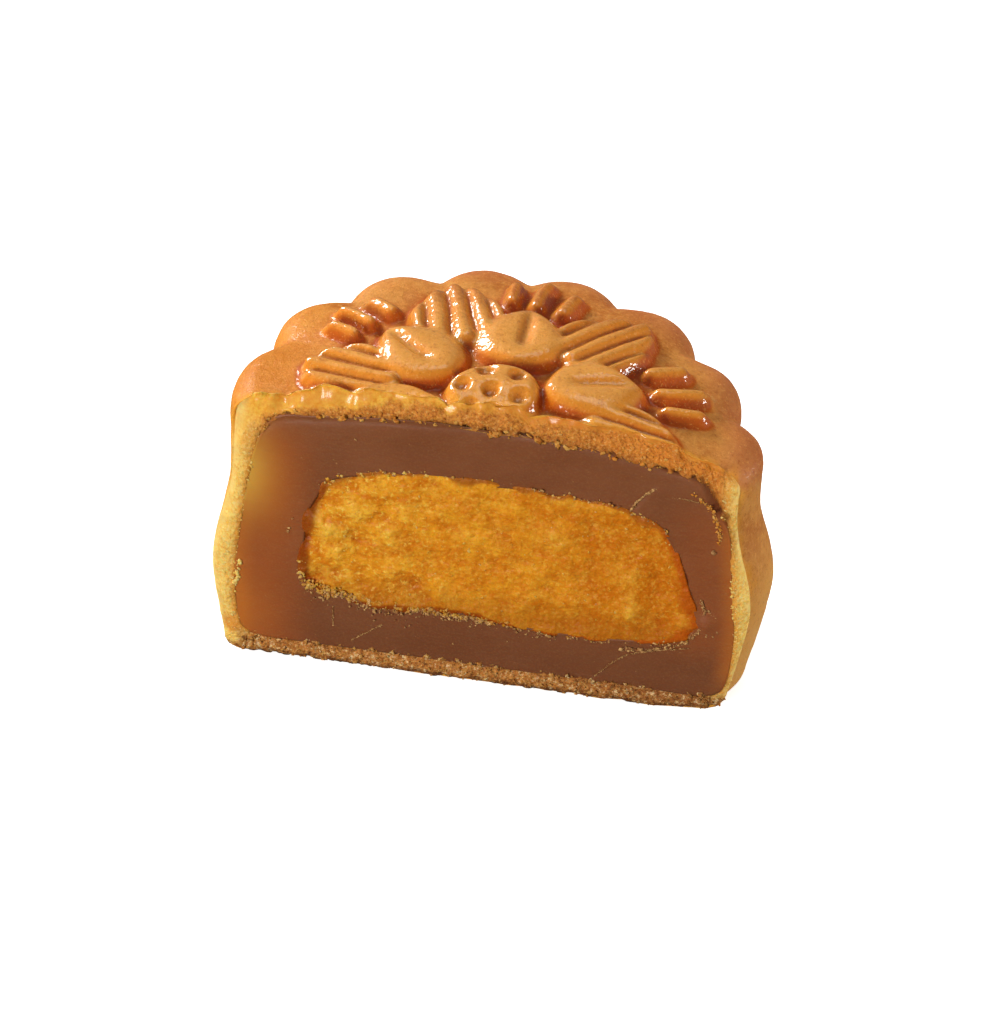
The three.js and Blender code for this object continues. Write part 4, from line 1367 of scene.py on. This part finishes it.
scrape_mesh = bmesh.new()
lumps_along(scrape_mesh, FLAKY_EDGE, 0.07, 0.1, 0.1, 0.36, steps=60)
lumps_along(scrape_mesh, RIGHT_FLAKES, 0.16, 0.25, 0.08, 0.26)
low_rim = [p for p in yolk_rim_spots if p.z < 10 and p.x < 15]
scatter(scrape_mesh, low_rim, 330, 0.08, 0.3, stray=flaked_down)
scatter(scrape_mesh, busy_rim, 120, 0.1, 0.32, stray=around(0.15, LUMP_LIFT))
lumps_along(scrape_mesh, FRINGE, 0.05, 0.2, 0.08, 0.34)
for path, line, steps in FINE_LINES:
    lumps_along(scrape_mesh, path, *line, steps=steps)
for x, z, size in LONE_LUMPS:
    add_lump(scrape_mesh, Vector((x, -CUT, z)), size, size)
scrape_values = {"dry": value_per_lump(scrape_mesh, 0.3, 1)}
make_piece("paste_scrapings", scrape_mesh, [flaky], scrape_values)
for ball in BALLS:
    bpy.data.meshes.remove(ball)

# %% [markdown]
# ## Floor, light and camera
# The cake stands on a plain white table. A small bright window high on the left behind it gives
# the crisp highlights on the relief's left slopes. Broad soft boxes in front, on the right and
# above light the cut, the side and the top evenly, and a faint white sky does the rest. One large
# dome alone would be simpler, but it leaves no highlights on the glaze. The camera is a long lens,
# far off, looking down.

# %% Floor
TABLE_REACH = 3                  # metres
floor_mesh = bmesh.new()
bmesh.ops.create_grid(floor_mesh, x_segments=1, y_segments=1, size=TABLE_REACH)
table_top = to_scene("table_top", to_data("table_top", floor_mesh))
white = Finish("white_table", 0.9, **{
    "Base Color": (0.9, 0.9, 0.9, 1), "Emission Color": (1, 1, 1, 1), "Emission Strength": 0.75,
})
table_top.data.materials.append(white.material)
table_top.visible_diffuse = table_top.visible_glossy = False
print("table top:", [round(side, 2) for side in table_top.dimensions], "m")

# %% Lights
middle = Vector((0, 0, 13 * MM))  # of the cake, which the lamps and the camera face

def soft_box(name, direction, distance, size, power, colour=(1, 1, 1)):
    lamp = bpy.data.lights.new(name, "AREA")
    lamp.shape, lamp.size, lamp.size_y = "RECTANGLE", *size
    lamp.energy, lamp.color = power, colour
    box = to_scene(name, lamp)
    away = Vector(direction).normalized()
    box.location = middle + distance * away
    box.rotation_euler = away.to_track_quat("Z", "Y").to_euler()
    print(name, "has", power, "W")

soft_box("window_light", (-0.75, 0.55, 0.5), 0.45, (0.17, 0.17), 2.4)
soft_box("top_light", (0.1, 0.25, 1), 0.6, (0.35, 0.35), 0.7)
soft_box("front_light", (-0.5, -1, 0.33), 0.7, (0.22, 0.22), 3.9)
soft_box("right_fill", (1, 0.1, 0.12), 0.7, (0.2, 0.2), 2.9)
sky = bpy.data.worlds.new("white_sky")
sky.use_nodes = True
sky.node_tree.nodes["Background"].inputs["Color"].default_value = (1, 1, 1, 1)
sky.node_tree.nodes["Background"].inputs["Strength"].default_value = 0.15
bpy.context.scene.world = sky
bpy.context.scene.view_settings.view_transform = "Standard"

# %% [markdown]
# The camera's bearing, drop and roll are those of someone holding it over the table. Its distance
# sets how strongly the cake narrows towards the back, and the lens then sets its size. It aims
# past the cake's middle, so that the cake sits a little low in the picture.

# %% Camera
PICTURE_WIDE, PICTURE_HIGH = 984, 1024
VIEW_TURN, VIEW_DROP, VIEW_ROLL = math.radians(7.13), math.radians(38.83), math.radians(3.23)
VIEW_DISTANCE = 625 * MM
PIXELS_PER_METRE = 10.74 / MM
MIDDLE_IN_PICTURE = (482.0, 559.6)
target = TO_FRAME + middle
level_forward = Vector((-math.sin(VIEW_TURN), math.cos(VIEW_TURN), 0))
forward = level_forward * math.cos(VIEW_DROP) - Vector((0, 0, math.sin(VIEW_DROP)))
level_right = Vector((math.cos(VIEW_TURN), math.sin(VIEW_TURN), 0))
level_up = level_right.cross(forward)
right = math.cos(VIEW_ROLL) * level_right + math.sin(VIEW_ROLL) * level_up
up = math.cos(VIEW_ROLL) * level_up - math.sin(VIEW_ROLL) * level_right
focal_pixels = PIXELS_PER_METRE * VIEW_DISTANCE
aim = forward - (MIDDLE_IN_PICTURE[0] - PICTURE_WIDE / 2) / focal_pixels * right
aim += (MIDDLE_IN_PICTURE[1] - PICTURE_HIGH / 2) / focal_pixels * up
aim.normalize()
aim_right = aim.cross(up).normalized()
aim_up = aim_right.cross(aim)
camera_data = bpy.data.cameras.new("camera")
camera_data.sensor_width = 36
camera_data.lens = focal_pixels / max(PICTURE_WIDE, PICTURE_HIGH) * camera_data.sensor_width
camera_data.clip_start, camera_data.clip_end = 0.01, 20
camera = to_scene("camera", camera_data)
camera.matrix_world = Matrix.Translation(target - VIEW_DISTANCE * forward) @ Matrix(
    (aim_right, aim_up, -aim)).transposed().to_4x4()
bpy.context.scene.camera = camera
print("lens", round(camera_data.lens, 1), "mm")
